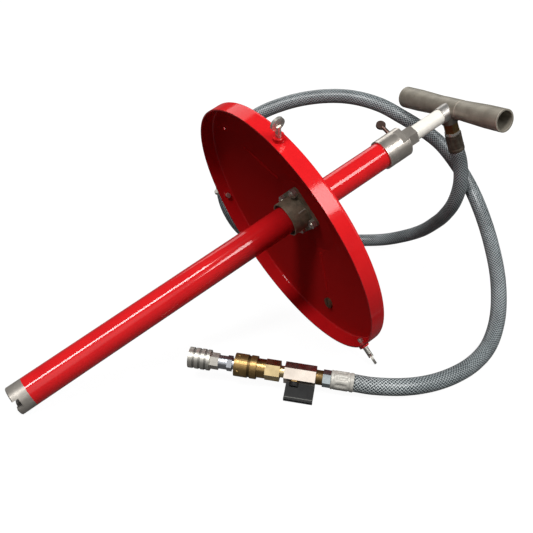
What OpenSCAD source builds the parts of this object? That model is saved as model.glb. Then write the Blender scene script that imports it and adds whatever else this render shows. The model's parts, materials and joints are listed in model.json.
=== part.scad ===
// Hand pump for a pail: barrel with foot valve, pail cover, plunger with a T-handle,
// hose with a ball valve and two quick couplers.
// Millimetres, +Z up. The pump lies on the floor on its foot and on the rim of its cover.
// The origin is on the floor, under the middle of the pump without its hose.

/* [Barrel] */
// Outer diameter of the barrel tube
barrel_d = 33; // [30:0.5:36]
// Wall of the barrel tube
barrel_wall = 1.5; // [1:0.1:2]
// Length of the barrel tube
barrel_len = 495; // [480:1:540]

/* [Foot valve] */
// Length of the foot outside the barrel
foot_len = 18; // [14:0.5:24]
// Bevel round the end of the foot
foot_bevel = 1; // [0.4:0.1:2]
// Diameter of the inlet bore
inlet_d = 14; // [11:0.5:15]
// Diameter of the foot's check ball
foot_ball_d = 18; // [17:0.25:18.5]
// Lift of the foot's check ball
foot_ball_lift = 4; // [2:0.5:6]
// Width of the slot across the end of the foot
foot_slot_w = 10; // [6:0.5:12]
// Depth of the slot across the end of the foot
foot_slot_depth = 7; // [4:0.5:9]
// Turn of the slot from the side that faces the floor
foot_slot_turn = 76; // [0:1:179]

/* [Cover] */
// Outer diameter of the pail cover
cover_d = 316; // [300:1:330]
// Thickness of the cover's sheet
cover_sheet = 1.5; // [1:0.1:2]
// Height of the cover's flange
cover_flange = 18.7; // [16:0.1:22]
// Radius of the corner between flange and panel
cover_corner = 4; // [3:0.25:6]
// Rise of the panel from the flange to the land in its middle
cover_rise = 21.8; // [16:0.2:26]
// Diameter of the flat land in the middle
cover_land_d = 96; // [94:1:110]
// Place of the cover's rim along the barrel, from the foot's end
cover_place = 338; // [320:1:345]
// Offset of the cover's centre towards the floor
cover_down = 6; // [0:0.5:7]
// Offset of the cover's centre to the far side
cover_side = -9; // [-10:0.5:0]
// Distance of the vent plug from the cover's centre
vent_reach = 125; // [110:1:132]
// Distance of the small hole from the cover's centre
hole_reach = 140; // [130:1:143]
// Diameter of the small hole
hole_d = 4.4; // [3:0.1:6]

/* [Cover screws] */
// Diameter of the cover screws
screw_d = 6; // [5:0.5:7]
// How far a cover screw stands out of the flange
screw_out = 29; // [28:0.5:30]
// How far a cover screw stands into the cover
screw_in = 6; // [4:0.5:9]
// Width of a screw's spade head
spade_w = 15; // [12:0.5:16]
// Length of a screw's spade head
spade_len = 13.5; // [12:0.25:14]
// Thickness of a screw's spade head
spade_t = 3; // [2.5:0.25:4.5]
// Turn of the first cover screw from the side that faces the floor
screw_turn = -31; // [-40:1:-20]
// Diameter of a weld boss
boss_d = 12; // [10:0.5:13]
// Height of a weld boss on the flange
boss_h = 5; // [3:0.25:5.25]

/* [Collar] */
// Bore of the collar under the cover
collar_bore = 39; // [37:0.5:40]
// Wall of the collar
collar_wall = 1.5; // [1:0.1:2]
// Length of the collar with its plate
collar_len = 24.3; // [18:0.1:30]
// Thickness of the collar's plate
collar_plate = 3; // [2:0.25:4]
// Distance of the collar bolts from the barrel's axis
bolt_reach = 29; // [28:0.25:30]
// Diameter of the collar bolts
bolt_d = 6; // [5:0.5:6]
// Width across the flats of the collar bolts and nuts
bolt_af = 10; // [9:0.5:10]
// Turn of the collar bolts from the side that faces the floor
bolt_turn = 15; // [0:1:89]

/* [Head] */
// Diameter of the head cap
cap_d = 37.5; // [35.5:0.25:42]
// Length of the cap's socket over the barrel
cap_socket = 14; // [10:0.5:20]
// Length of the cap above the barrel
cap_web = 20; // [19:0.5:26]
// Width across the cap's wrench flats
cap_flats = 32; // [28:0.25:33]
// Length of the cap's wrench flats
cap_flats_len = 10; // [6:0.5:12]
// Width across the flats of the gland nut
gland_af = 22.5; // [20.5:0.25:24]
// Length of the gland nut's hexagon
gland_len = 16.5; // [12:0.5:24]
// Diameter of the head cap's screw
head_screw_d = 5; // [4:0.5:6]
// How far the head cap's screw stands out from the barrel's axis
head_screw_reach = 40; // [36:0.5:42]
// Width of the head cap screw's spade
head_spade_w = 12; // [9:0.5:14]
// Turn of the head cap's screw from the side that faces the floor
head_screw_turn = 125; // [100:1:150]

/* [Plunger] */
// Diameter of the plunger rod
rod_d = 19; // [17:0.25:19.5]
// Bore of the plunger rod
rod_bore = 12; // [11.5:0.25:13]
// Length of the plunger rod
rod_len = 464; // [440:1:475]
// Gap between the gland nut and the handle's neck, with the handle as it lies
plunger_gap = 44.5; // [41:0.5:60]
// Diameter of the piston's check ball
piston_ball_d = 10; // [9.5:0.1:10.5]
// Lift of the piston's check ball
piston_ball_lift = 4; // [2:0.5:6]
// Length of the piston's cup seal
cup_len = 13; // [10:0.5:18]
// Length of the piston nut
piston_nut_len = 10; // [7:0.5:14]

/* [Handle] */
// Diameter of the handle's neck
neck_d = 21; // [18.5:0.25:22]
// Distance from the rod's end to the handle bar's axis
bar_rise = 21.5; // [20:0.5:26]
// Diameter of the sleeve in the middle of the bar
sleeve_d = 25; // [24:0.25:30]
// Length of the sleeve in the middle of the bar
sleeve_len = 31; // [28:0.5:40]
// Diameter of the grip tubes
grip_d = 27.6; // [26:0.1:29]
// Diameter of the grip tubes at the sleeve
grip_root_d = 24.4; // [23:0.1:26]
// Length of the flared stretch of the grip tubes
grip_flare = 45; // [30:1:60]
// Wall of the grip tubes
grip_wall = 2; // [1.5:0.1:2.5]
// Length of the handle bar from end to end
bar_len = 175; // [150:1:200]
// Distance from the rod's axis to the end of the outlet boss
outlet_reach = 15; // [14:0.25:22]
// Distance from the bar's axis to the outlet's axis
outlet_drop = 8; // [6:0.25:9]
// Width across the flats of the outlet nipple
nipple_af = 17; // [16:0.25:18]
// Length of the outlet nipple
nipple_len = 13; // [12:0.5:20]
// Width of the ring on the outlet
ring_len = 3; // [2:0.25:4]

/* [Hose] */
// Outer diameter of the hose
hose_d = 19; // [17:0.25:19.5]
// Bore of the hose
hose_bore = 12.7; // [9:0.1:13]
// Wall of the crimped ferrules over the hose
ferrule_wall = 0.9; // [0.6:0.1:1.2]
// Length of the crimped ferrules
ferrule_len = 25; // [20:0.5:30]

/* [Ball valve] */
// Width across the flats of the valve body
valve_af = 20.5; // [20:0.25:26]
// Length of the valve body
valve_len = 34; // [32:0.5:42]
// Diameter of the valve's ball
valve_ball_d = 15; // [15:0.25:16.5]
// Bore of the valve's ball
valve_bore = 8; // [7:0.25:9.5]
// Diameter of the valve's stem
stem_d = 6.5; // [6:0.25:8]
// Angle of the stem from the side that faces the floor
stem_turn = 58; // [56:1:75]
// Distance from the valve's axis to the end of the lever
lever_reach = 32; // [28:0.25:34]
// Length of the lever towards the couplers
lever_short = 8.5; // [6:0.5:12]
// Length of the lever towards the hose
lever_long = 22.5; // [12:0.5:24]
// Thickness of the lever
lever_t = 4; // [3:0.25:5]
// Thickness of the lip at the lever's end
lip_t = 5; // [4:0.25:6]
// Width across the flats of the swivel nut at the hose
swivel_af = 16.5; // [15.5:0.25:19]
// Length of the swivel nut
swivel_len = 8.5; // [7:0.5:12]
// Length of the brass neck between valve and swivel nut
tail_neck = 7.5; // [5:0.5:10]

/* [Couplers] */
// Diameter of the brass coupler's sleeve
coupler_sleeve_d = 25.5; // [25:0.25:28]
// Length of the brass coupler's sleeve
coupler_sleeve_len = 24.5; // [24:0.5:30]
// Bore of the brass coupler
coupler_bore = 12; // [11.5:0.1:12.2]
// Width across the flats of the brass coupler's hexagon
coupler_af = 20; // [20:0.25:22]
// Length of the brass coupler's hexagon
coupler_hex_len = 16; // [14:0.5:22]
// Travel of the coupler sleeves
sleeve_travel = 5; // [3:0.5:6]
// Diameter of the end coupler's sleeve
tip_sleeve_d = 23; // [22.5:0.25:25]
// Length of the end coupler's sleeve
tip_sleeve_len = 24; // [24:0.5:32]
// Bore of the end coupler
tip_bore = 10.6; // [10:0.1:10.8]
// Depth of the end coupler's bore
tip_depth = 20; // [18:0.5:22]
// Width across the flats of the end coupler's hexagon
tip_af = 16; // [16:0.25:17.25]
// Length of the end coupler's hexagon
tip_hex_len = 9.5; // [9:0.5:14]
// Width across the flats of the plug nipple
plug_af = 15; // [13.5:0.25:16]

/* [Clearances] */
// Radial play of pressed and screwed seats
seat_fit = 0.05; // [0.02:0.01:0.08]
// Radial play of guided pieces
slide_fit = 0.06; // [0.03:0.01:0.1]
// Gap between pieces that move past each other
run_gap = 0.3; // [0.2:0.05:0.5]

/* [Hidden] */
$fn = 64;
eps = 0.5;

// Barrel and foot
barrel_r = barrel_d / 2;
barrel_ir = barrel_r - barrel_wall;
barrel_top = foot_len + barrel_len;
spigot_r = barrel_ir - seat_fit;
foot_seat_z = foot_len + 2;
foot_ball_r = foot_ball_d / 2;
foot_ball_z = foot_seat_z + sqrt(pow(foot_ball_r, 2) - pow(inlet_d / 2, 2)) + seat_fit;
foot_chamber_r = foot_ball_r + 1.2;
pin_r = 1.25;
pin_inset = 0.4;
foot_pin_z = foot_ball_z + foot_ball_r + foot_ball_lift + run_gap + pin_r;
spigot_top = foot_pin_z + pin_r + 3.4;
seal_groove_r = spigot_r - 2;
seal_groove_w = 3;
foot_seal_z = foot_len + 6;
foot_groove_z = foot_seal_z - seal_groove_w / 2;

// Head
cap_r = cap_d / 2;
cap_z0 = barrel_top - cap_socket;
cap_z1 = barrel_top + cap_web;
rod_r = rod_d / 2;
rod_ir = rod_bore / 2;
bush_len = 12;
cap_lip = 3;
packing_len = 5;
packing_r = rod_r + 3;
packing_z0 = barrel_top + cap_lip;
packing_z1 = packing_z0 + packing_len;
gland_top = cap_z1 + gland_len;
head_screw_z = cap_z1 - cap_flats_len / 2;
head_spade_len = 12;
head_spade_t = 3;

// Plunger and piston
neck_z0 = gland_top + plunger_gap;
rod_z0 = neck_z0 - rod_len;
piston_stud_len = 16;
piston_seat_r = piston_ball_d / 2 - 1.2;
piston_seat_z = rod_z0 + piston_stud_len;
piston_ball_r = piston_ball_d / 2;
piston_ball_z = piston_seat_z + sqrt(pow(piston_ball_r, 2) - pow(piston_seat_r, 2)) + seat_fit;
piston_pin_z = piston_ball_z + piston_ball_r + piston_ball_lift + run_gap + pin_r;
piston_flange_r = barrel_ir - 3;
piston_flange_z0 = rod_z0 - 12;
piston_screw_r = 6;
cup_base = 5;
cup_z0 = piston_flange_z0 - cup_base;
cup_r = barrel_ir - slide_fit;
piston_nut_z0 = cup_z0 - piston_nut_len;
piston_nut_af = 20;
piston_z0 = piston_nut_z0 - 3;

// Handle and outlet
neck_r = neck_d / 2;
neck_spigot_len = 14;
passage_r = 4;
bar_z = neck_z0 + bar_rise;
outlet_z = bar_z - outlet_drop;
sleeve_r = sleeve_d / 2;
grip_r = grip_d / 2;
grip_root_r = grip_root_d / 2;
grip_root = sleeve_len / 2;
grip_bend = grip_root + grip_flare;
grip_spigot_r = grip_root_r - grip_wall - seat_fit;
grip_spigot_len = 20;
ferrule_r = hose_d / 2 + ferrule_wall;
ring_r = nipple_af / 2 / cos(30);
nipple_end = outlet_reach + nipple_len;
ring_end = nipple_end + ring_len;
hose_start = ring_end + ferrule_len;
crimp_depth = 0.5;

// Cover
cover_r = cover_d / 2;
cover_top = cover_flange + cover_rise;
land_r = cover_land_d / 2;
corner_x = cover_r - cover_corner;
corner_z = cover_flange - cover_corner;
panel_run = corner_x - land_r;
panel_drop = cover_top - corner_z;
panel_slope = atan(panel_drop / panel_run) - asin(cover_corner / norm([panel_run, panel_drop]));
arc_steps = 8;
screw_r = screw_d / 2;
screw_z = cover_flange / 2;
screw_turns = [screw_turn, screw_turn + 120, screw_turn + 240];
spade_touch = 35;
near_twist = -73;
bead_r = 1.5;
bead_inset = 0.2;
bead_turns = [0, 140];
bead_in = land_r + 8;
bead_end_gap = 16;
bead_out = vent_reach - bead_end_gap;
vent_turn = 0;
hole_turn = 140;
vent_shank_r = 4;
vent_head_r = 7;
vent_head_h = 3;
vent_nut_af = 13;
vent_nut_h = 5;
vent_tail = 2;
vent_hole_r = 1;
vent_slot_w = 1.6;
vent_slot_depth = 1.5;

// Collar
collar_ir = collar_bore / 2;
collar_r = collar_ir + collar_wall;
land_z = cover_place + cover_top - cover_sheet;
plate_z = land_z - collar_plate;
collar_z0 = land_z - collar_len;
plate_corner = 6;
plate_edge = 5.5;
plate_half = bolt_reach * cos(45) + plate_edge;
seam_turn = 245;
seam_r = 0.9;
seam_len = 10;
nut_h = 5;
washer_h = 1.2;
washer_r = 6;
bolt_head_h = 4;
washer_z = land_z + cover_sheet;
bolt_head_z = washer_z + washer_h;
bolt_tail = 2;

// How the pump lies: the foot's bevel edge and the lowest point of the cover's rim are on the floor
tilt = atan((cover_r + cover_down - barrel_r) / (cover_place - foot_bevel));
lift = barrel_r * cos(tilt) - foot_bevel * sin(tilt);
x_min = -(barrel_r - foot_bevel) * sin(tilt);
x_ring = outlet_z * cos(tilt) + ring_end * sin(tilt) + ring_r * cos(tilt);
x_bar = bar_z * cos(tilt) + max(sleeve_r, grip_r);
x_max = max(x_ring, x_bar);
y_min = cover_side - cover_r;
y_max = cover_side + (cover_r + screw_out) * sin(screw_turns[1]);
middle_x = (x_min + x_max) / 2;
middle_y = (y_min + y_max) / 2;

// Valve and couplers, as stations along their own axis from the free end
chain_at = [-101.5, -36.4];
chain_turn = -39.1;
chain_pitch = -4.5;
tip_hex_z = tip_sleeve_len;
plug_z = tip_hex_z + tip_hex_len;
plug_neck_len = 9.5;
plug_hex_len = 5.5;
plug_gap = 3;
plug_hex_z = plug_z + plug_neck_len;
plug_step_z = plug_hex_z + plug_hex_len;
coupler_z = plug_step_z + plug_gap;
coupler_behind = 4.5;
coupler_hex_z = coupler_z + coupler_sleeve_len + sleeve_travel + coupler_behind;
coupler_neck = 5;
valve_z = coupler_hex_z + coupler_hex_len + coupler_neck;
stem_shift = 5;
stem_z = valve_z + valve_len / 2 - stem_shift;
tail_z = valve_z + valve_len;
swivel_z = tail_z + tail_neck;
end_ferrule_z = swivel_z + swivel_len;
chain_end = end_ferrule_z + ferrule_len;
hex_turn = 30 - stem_turn;

// Height of the couplers' free end: the valve rests on the end of its lever
lever_drop = lever_reach * cos(stem_turn) * cos(chain_pitch) + lip_t / 2 * sin(stem_turn);
chain_lift = lever_drop - (stem_z + lever_long) * sin(chain_pitch) + run_gap;

// Ball valve
valve_ball_r = valve_ball_d / 2;
valve_bore_r = valve_bore / 2;
chamber_gap = 0.4;
chamber_r = valve_ball_r + chamber_gap;
seat_len = 5;
chamber_half = valve_ball_r + 1.5;
chamber_z0 = stem_z - chamber_half;
chamber_z1 = stem_z + chamber_half;
valve_thread_r = 6.5;
stem_r = stem_d / 2;
ball_flat = valve_ball_r - 1;
tang_t = 3;
tang_w = 5.6;
tang_depth = 1.6;
tail_r = 8;
thread_gap = 0.5;
valve_face = valve_af / 2;
stem_nut_af = 9.5;
stem_nut_h = 1.2;
hub_r = 5.5;
hub_h = 5;
hub_z0 = valve_face + stem_nut_h + run_gap;
stem_tip_r = 2.6;
stem_tip_len = 4;
lever_screw_r = 1.5;
lever_screw_z = hub_z0 + 2;
lip_h = 3;

// Couplers
coupler_bore_r = coupler_bore / 2;
coupler_front_r = coupler_bore_r + 3;
coupler_back_r = coupler_front_r + 1.5;
coupler_shoulder = 17;
coupler_lip = 4;
coupler_ball_r = 1.4;
coupler_ball_z = coupler_z + 7;
coupler_depth = 19;
coupler_sleeve_r = coupler_sleeve_d / 2;
coupler_sleeve_end = coupler_z + coupler_sleeve_len;
plug_insert_r = coupler_bore_r - 0.1;
plug_insert_len = 17;
plug_neck_r = plug_af / 2;
plug_tail_r = 5;
plug_tail_len = 8;
plug_bore_r = 3.5;
tip_bore_r = tip_bore / 2;
tip_front_r = tip_bore_r + 2.7;
tip_shoulder_r = tip_front_r + 1.9;
tip_shoulder_len = 3;
tip_lip = 5;
tip_ball_r = 1.3;
tip_ball_z = 2.5;
tip_sleeve_r = tip_sleeve_d / 2;
tip_groove_z = [5, 11.5, 18];
tip_groove_w = 2.5;
tip_groove_depth = 0.8;
sleeve_groove_w = 3;
sleeve_groove_depth = 1;
sleeve_groove_back = 10;
sleeve_groove_z0 = coupler_sleeve_end - sleeve_groove_back;
sleeve_groove_z1 = sleeve_groove_z0 + sleeve_groove_w;
seal_z = 12;
seal_w = 3;
seal_depth = 1.2;
wire_r = 0.55;
spring_turns = 4;
spring_steps = 18;
ball_count = 6;

// Route of the hose from the handle's ferrule to the valve's ferrule, behind the cover and back to the front
hose_route = [
    [308, -3, 161], [313, 10, 131], [323, 37, 103], [337, 70, 79], [349, 106, 52], [345, 142, 31],
    [331, 174, 16], [306, 202, 10], [270, 222, 10], [228, 232, 10], [184, 234, 14], [142, 228, 28],
    [106, 218, 52], [78, 209, 84], [61, 204, 122], [59, 202, 164], [76, 203, 203], [109, 201, 231],
    [149, 187, 248], [185, 161, 258], [217, 130, 260], [245, 99, 252], [268, 77, 237], [290, 60, 221],
    [311, 45, 202], [326, 26, 176], [334, 3, 147], [331, -25, 119], [316, -62, 90], [294, -100, 60],
    [267, -131, 31], [233, -155, 14], [192, -174, 10], [151, -184, 10], [115, -185, 11], [84, -179, 13]
];
hose_sides = 12;
hose_lead = 20;

// Places that the hose's ends take from the handle and the valve
function lying_point(p) = [
    p[2] * cos(tilt) + p[0] * sin(tilt) - middle_x,
    p[1] - middle_y,
    p[2] * sin(tilt) - p[0] * cos(tilt) + lift
];
chain_dir = [
    cos(chain_pitch) * cos(chain_turn),
    cos(chain_pitch) * sin(chain_turn),
    sin(chain_pitch)
];
chain_start = [chain_at[0], chain_at[1], chain_lift];
hose_first = lying_point([hose_start + seat_fit, 0, outlet_z]);
hose_second = lying_point([hose_start + hose_lead, 0, outlet_z]);
hose_last = chain_start + (chain_end + seat_fit) * chain_dir;
hose_before_last = chain_start + (chain_end + hose_lead) * chain_dir;
hose_points = concat([hose_first, hose_second], hose_route, [hose_before_last, hose_last]);

// Height of the panel's outer face over the rim, at a distance from the cover's centre
function panel_z(r) = cover_top - (r - land_r) * tan(panel_slope);

// Unit vector
function unit(v) = v / norm(v);

// Direction of a route at one of its points
function heading(pts, i) =
    i == 0 ? unit(pts[1] - pts[0]) :
    i == len(pts) - 1 ? unit(pts[i] - pts[i - 1]) :
    unit(unit(pts[i] - pts[i - 1]) + unit(pts[i + 1] - pts[i]));

// Side vectors carried along a route without twist
function carried(pts, i, side) =
    let (t = heading(pts, i), s = unit(side - (side * t) * t))
    i == len(pts) - 1 ? [s] : concat([s], carried(pts, i + 1, s));

// One ring of points round each point of a route
function rings(pts, r, sides) =
    let (first = heading(pts, 0), other = abs(first[2]) < 0.9 ? [0, 0, 1] : [1, 0, 0])
    let (side = carried(pts, 0, cross(first, other)))
    [for (i = [0:len(pts) - 1])
        let (t = heading(pts, i), u = side[i], v = cross(t, u))
        for (k = [0:sides - 1])
            pts[i] + r * (cos(360 * k / sides) * u + sin(360 * k / sides) * v)];

// Triangles between the rings of a tube and over its two ends
function tube_faces(count, sides) = concat(
    [for (k = [1:sides - 2]) [0, k, k + 1]],
    [for (i = [0:count - 2], k = [0:sides - 1])
        let (a = i * sides + k, b = i * sides + (k + 1) % sides)
        each [[a, a + sides, b], [b, a + sides, b + sides]]],
    [let (e = (count - 1) * sides) for (k = [1:sides - 2]) [e, e + k + 1, e + k]]
);

// Points of a helix along Z
function helix(r, z0, z1, turns) =
    [for (i = [0:turns * spring_steps])
        let (a = 360 * i / spring_steps, z = z0 + (z1 - z0) * i / (turns * spring_steps))
        [r * cos(a), r * sin(a), z]];

// Round tube along a route
module swept(pts, r, sides) {
    polyhedron(rings(pts, r, sides), tube_faces(len(pts), sides), convexity = 10);
}

// Places a piece of the pump, whose axis is Z from the foot's end, as the pump lies
module lying() {
    translate([-middle_x, -middle_y, lift])
        rotate([0, 90 - tilt, 0])
            children();
}

// Places a piece of the cover, whose axis is Z from its rim
module on_cover() {
    lying()
        translate([cover_down, cover_side, cover_place])
            children();
}

// Places a piece on the cover's sloping panel, with Z out of the outer face
module on_panel(turn, reach) {
    rotate([0, 0, turn])
        translate([reach, 0, panel_z(reach)])
            rotate([0, panel_slope, 0])
                children();
}

// Places a piece of the valve and couplers, whose axis is Z from the free end, with X down
module in_chain() {
    translate(chain_start)
        rotate([0, 90 - chain_pitch, chain_turn])
            children();
}

// Places a piece on the valve's stem, with Z out along the stem and X towards the hose
module on_stem() {
    in_chain()
        translate([0, 0, stem_z])
            rotate([0, 0, -stem_turn])
                rotate([0, 90, 0])
                    rotate([0, 0, 180])
                        children();
}

// Round bar between two heights
module bar(r, z0, z1) {
    translate([0, 0, z0])
        cylinder(r = r, h = z1 - z0);
}

// Round tube between two heights
module pipe(r, bore_r, z0, z1) {
    difference() {
        bar(r, z0, z1);
        bar(bore_r, z0 - eps, z1 + eps);
    }
}

// Hexagon between two heights
module hexagon(af, z0, z1, turn = 0) {
    translate([0, 0, z0])
        rotate([0, 0, turn])
            cylinder(d = af / cos(30), h = z1 - z0, $fn = 6);
}

// Round ring of a round section
module ring(r, section_r, z) {
    translate([0, 0, z])
        rotate_extrude()
            translate([r, 0])
                circle(r = section_r);
}

// Groove round a bar
module groove(r, depth, z0, z1) {
    pipe(r + eps, r - depth, z0, z1);
}

// Places a piece along a direction square to Z
module sideways(turn, z) {
    translate([0, 0, z])
        rotate([0, 0, turn])
            rotate([0, 90, 0])
                children();
}

// Screw with a flat round head on a taper, along Z
module spade_screw(r, tip, head, head_end, w, t, twist = 0) {
    mid = head_end - w / 2;
    touch_x = w / 2 * cos(spade_touch);
    touch_y = mid - w / 2 * sin(spade_touch);
    bar(r, tip, head + w / 4);
    rotate([0, 0, twist])
        translate([0, t / 2, 0])
            rotate([90, 0, 0])
                linear_extrude(t) {
                    translate([0, mid])
                        circle(d = w);
                    polygon([[-r, head], [-touch_x, touch_y], [touch_x, touch_y], [r, head]]);
                }
}

// Outline of the cover's sheet from its axis to its rim
module cover_outline() {
    outer_arc = [for (i = [0:arc_steps])
        let (a = (90 - panel_slope) * i / arc_steps)
        [corner_x + cover_corner * cos(a), corner_z + cover_corner * sin(a)]];
    inner_arc = [for (i = [arc_steps:-1:0])
        let (a = (90 - panel_slope) * i / arc_steps, r = cover_corner - cover_sheet)
        [corner_x + r * cos(a), corner_z + r * sin(a)]];
    polygon(concat(
        [[cover_r, 0]],
        outer_arc,
        [[land_r, cover_top], [0, cover_top], [0, cover_top - cover_sheet]],
        [[land_r - cover_sheet * tan(panel_slope / 2), cover_top - cover_sheet]],
        inner_arc,
        [[cover_r - cover_sheet, 0]]
    ));
}

// Pressed bead on the inner face of the panel
module panel_bead(turn) {
    on_panel(turn, bead_in)
        translate([0, 0, -cover_sheet - bead_inset]) {
            rotate([0, 90, 0])
                cylinder(r = bead_r, h = bead_out - bead_in);
            sphere(r = bead_r);
            translate([bead_out - bead_in, 0, 0])
                sphere(r = bead_r);
        }
}

// Passage through the neck to the outlet
module passage() {
    bar(passage_r, neck_z0 - neck_spigot_len - eps, outlet_z);
    translate([0, 0, outlet_z])
        rotate([0, 90, 0])
            cylinder(r = passage_r, h = outlet_reach + eps);
}

// Places a piece of the outlet, whose axis is Z from the rod's axis
module on_outlet() {
    lying()
        sideways(0, outlet_z)
            children();
}

// Places a copy at each collar bolt
module at_bolts() {
    for (k = [0:3])
        rotate([0, 0, bolt_turn + 90 * k])
            translate([bolt_reach, 0, 0])
                children();
}

// Crimped ferrule over the end of a hose
module ferrule(z0, z1) {
    crimp = (z1 - z0) / 6;
    difference() {
        pipe(ferrule_r, hose_bore / 2, z0, z1);
        for (z = [z0 + crimp, z0 + 3 * crimp])
            groove(ferrule_r, crimp_depth, z, z + crimp);
    }
}

// Barrel and foot valve

module barrel_tube() {
    color("firebrick")
        lying()
            pipe(barrel_r, barrel_ir, foot_len, barrel_top);
}

module foot_body() {
    color("silver")
        lying()
            difference() {
                union() {
                    cylinder(r1 = barrel_r - foot_bevel, r2 = barrel_r, h = foot_bevel);
                    bar(barrel_r, foot_bevel, foot_len);
                    bar(spigot_r, foot_len, spigot_top);
                }
                bar(inlet_d / 2, -eps, foot_seat_z + eps);
                bar(foot_chamber_r, foot_seat_z, spigot_top + eps);
                groove(spigot_r, spigot_r - seal_groove_r, foot_groove_z, foot_groove_z + seal_groove_w);
                sideways(90, foot_pin_z)
                    bar(pin_r + seat_fit, -barrel_r, barrel_r);
                rotate([0, 0, foot_slot_turn])
                    cube([2 * barrel_d, foot_slot_w, 2 * foot_slot_depth], center = true);
            }
}

module foot_seal() {
    color("black")
        lying()
            ring((barrel_ir + seal_groove_r) / 2, (barrel_ir - seal_groove_r) / 2 - seat_fit / 2, foot_seal_z);
}

module foot_ball() {
    color("gainsboro")
        lying()
            translate([0, 0, foot_ball_z])
                sphere(r = foot_ball_r);
}

module foot_ball_pin() {
    color("gray")
        lying()
            sideways(90, foot_pin_z)
                bar(pin_r, -spigot_r + pin_inset, spigot_r - pin_inset);
}

// Cover and its screws

module cover_pan() {
    color("firebrick")
        on_cover()
            difference() {
                union() {
                    rotate_extrude()
                        cover_outline();
                    for (turn = bead_turns)
                        panel_bead(turn);
                }
                translate([-cover_down, -cover_side, 0]) {
                    bar(barrel_r + run_gap, 0, cover_top + eps);
                    at_bolts()
                        bar(bolt_d / 2 + seat_fit, 0, cover_top + eps);
                }
                for (turn = screw_turns)
                    sideways(turn, screw_z)
                        bar(screw_r + slide_fit, land_r, cover_r + eps);
                on_panel(vent_turn, vent_reach)
                    bar(vent_shank_r + seat_fit, -2 * cover_sheet, cover_sheet);
                on_panel(hole_turn, hole_reach)
                    bar(hole_d / 2, -2 * cover_sheet, cover_sheet);
            }
}

module screw_bosses() {
    color("firebrick")
        on_cover()
            difference() {
                for (turn = screw_turns)
                    sideways(turn, screw_z)
                        pipe(boss_d / 2, screw_r + slide_fit, cover_r - cover_sheet, cover_r + boss_h);
                bar(cover_r, -eps, cover_flange + eps, $fn = 360);
            }
}

module cover_screw(turn, twist) {
    color("silver")
        on_cover()
            sideways(turn, screw_z)
                spade_screw(
                    screw_r, cover_r - screw_in, cover_r + screw_out - spade_len,
                    cover_r + screw_out, spade_w, spade_t, twist
                );
}

module cover_screw_near() {
    cover_screw(screw_turns[0], near_twist);
}

module cover_screw_far() {
    cover_screw(screw_turns[1], 0);
}

module cover_screw_top() {
    cover_screw(screw_turns[2], 0);
}

module collar() {
    color("darkgoldenrod")
        lying()
            difference() {
                union() {
                    bar(collar_r, collar_z0, land_z);
                    translate([0, 0, plate_z])
                        linear_extrude(collar_plate)
                            rotate(bolt_turn - 45)
                                rounded_square(plate_half, plate_corner);
                    rotate([0, 0, seam_turn])
                        translate([collar_r, 0, 0])
                            bar(seam_r, plate_z - seam_len, plate_z + eps);
                }
                bar(collar_ir, collar_z0 - eps, land_z + eps);
                at_bolts()
                    bar(bolt_d / 2 + seat_fit, plate_z - eps, land_z + eps);
            }
}

// Square with round corners
module rounded_square(half, r) {
    square([2 * half, 2 * (half - r)], center = true);
    square([2 * (half - r), 2 * half], center = true);
    for (x = [-1, 1], y = [-1, 1])
        translate([x * (half - r), y * (half - r)])
            circle(r = r);
}

module collar_bolts() {
    color("dimgray")
        lying()
            at_bolts() {
                bar(bolt_d / 2, plate_z - nut_h - bolt_tail, land_z + cover_sheet + washer_h + eps);
                hexagon(bolt_af, bolt_head_z, bolt_head_z + bolt_head_h);
            }
}

module collar_nuts() {
    color("dimgray")
        lying()
            at_bolts()
                difference() {
                    hexagon(bolt_af, plate_z - nut_h, plate_z);
                    bar(bolt_d / 2 + seat_fit, plate_z - nut_h - eps, plate_z + eps);
                }
}

module collar_washers() {
    color("silver")
        lying()
            at_bolts()
                pipe(washer_r, bolt_d / 2 + seat_fit, washer_z, bolt_head_z);
}

module vent_plug() {
    color("goldenrod")
        on_cover()
            on_panel(vent_turn, vent_reach)
                difference() {
                    union() {
                        bar(vent_head_r, -cover_sheet - seat_fit - vent_head_h, -cover_sheet - seat_fit);
                        bar(vent_shank_r, -cover_sheet - eps, vent_nut_h + vent_tail);
                    }
                    translate([0, 0, -cover_sheet - seat_fit - vent_head_h])
                        cube([3 * vent_head_r, vent_slot_w, 2 * vent_slot_depth], center = true);
                    bar(vent_hole_r, -cover_sheet - vent_head_h - eps, vent_nut_h + vent_tail + eps);
                }
}

module vent_nut() {
    color("goldenrod")
        on_cover()
            on_panel(vent_turn, vent_reach)
                difference() {
                    hexagon(vent_nut_af, 0, vent_nut_h);
                    bar(vent_shank_r + seat_fit, -eps, vent_nut_h + eps);
                }
}

// Head

module head_cap() {
    color("silver")
        lying()
            difference() {
                bar(cap_r, cap_z0, cap_z1);
                bar(barrel_r + seat_fit, cap_z0 - eps, barrel_top);
                bar(rod_r + run_gap, barrel_top - eps, cap_z1);
                bar(packing_r, packing_z0, cap_z1 + eps);
                for (side = [0, 180])
                    rotate([0, 0, head_screw_turn + 90 + side])
                        translate([cap_flats / 2, -cap_d, cap_z1 - cap_flats_len])
                            cube([cap_d, 2 * cap_d, cap_flats_len + eps]);
                sideways(head_screw_turn, head_screw_z)
                    bar(head_screw_d / 2 + slide_fit, 0, cap_d);
            }
}

module rod_bush() {
    color("ivory")
        lying()
            pipe(spigot_r, rod_r + slide_fit, barrel_top - bush_len, barrel_top);
}

module gland_packing() {
    color("black")
        lying()
            pipe(packing_r - seat_fit, rod_r + slide_fit, packing_z0, packing_z1);
}

module gland_nut() {
    color("silver")
        lying()
            difference() {
                union() {
                    bar(packing_r - seat_fit, packing_z1, cap_z1);
                    hexagon(gland_af, cap_z1, gland_top);
                }
                bar(rod_r + run_gap, packing_z1 - eps, gland_top + eps);
            }
}

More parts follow.
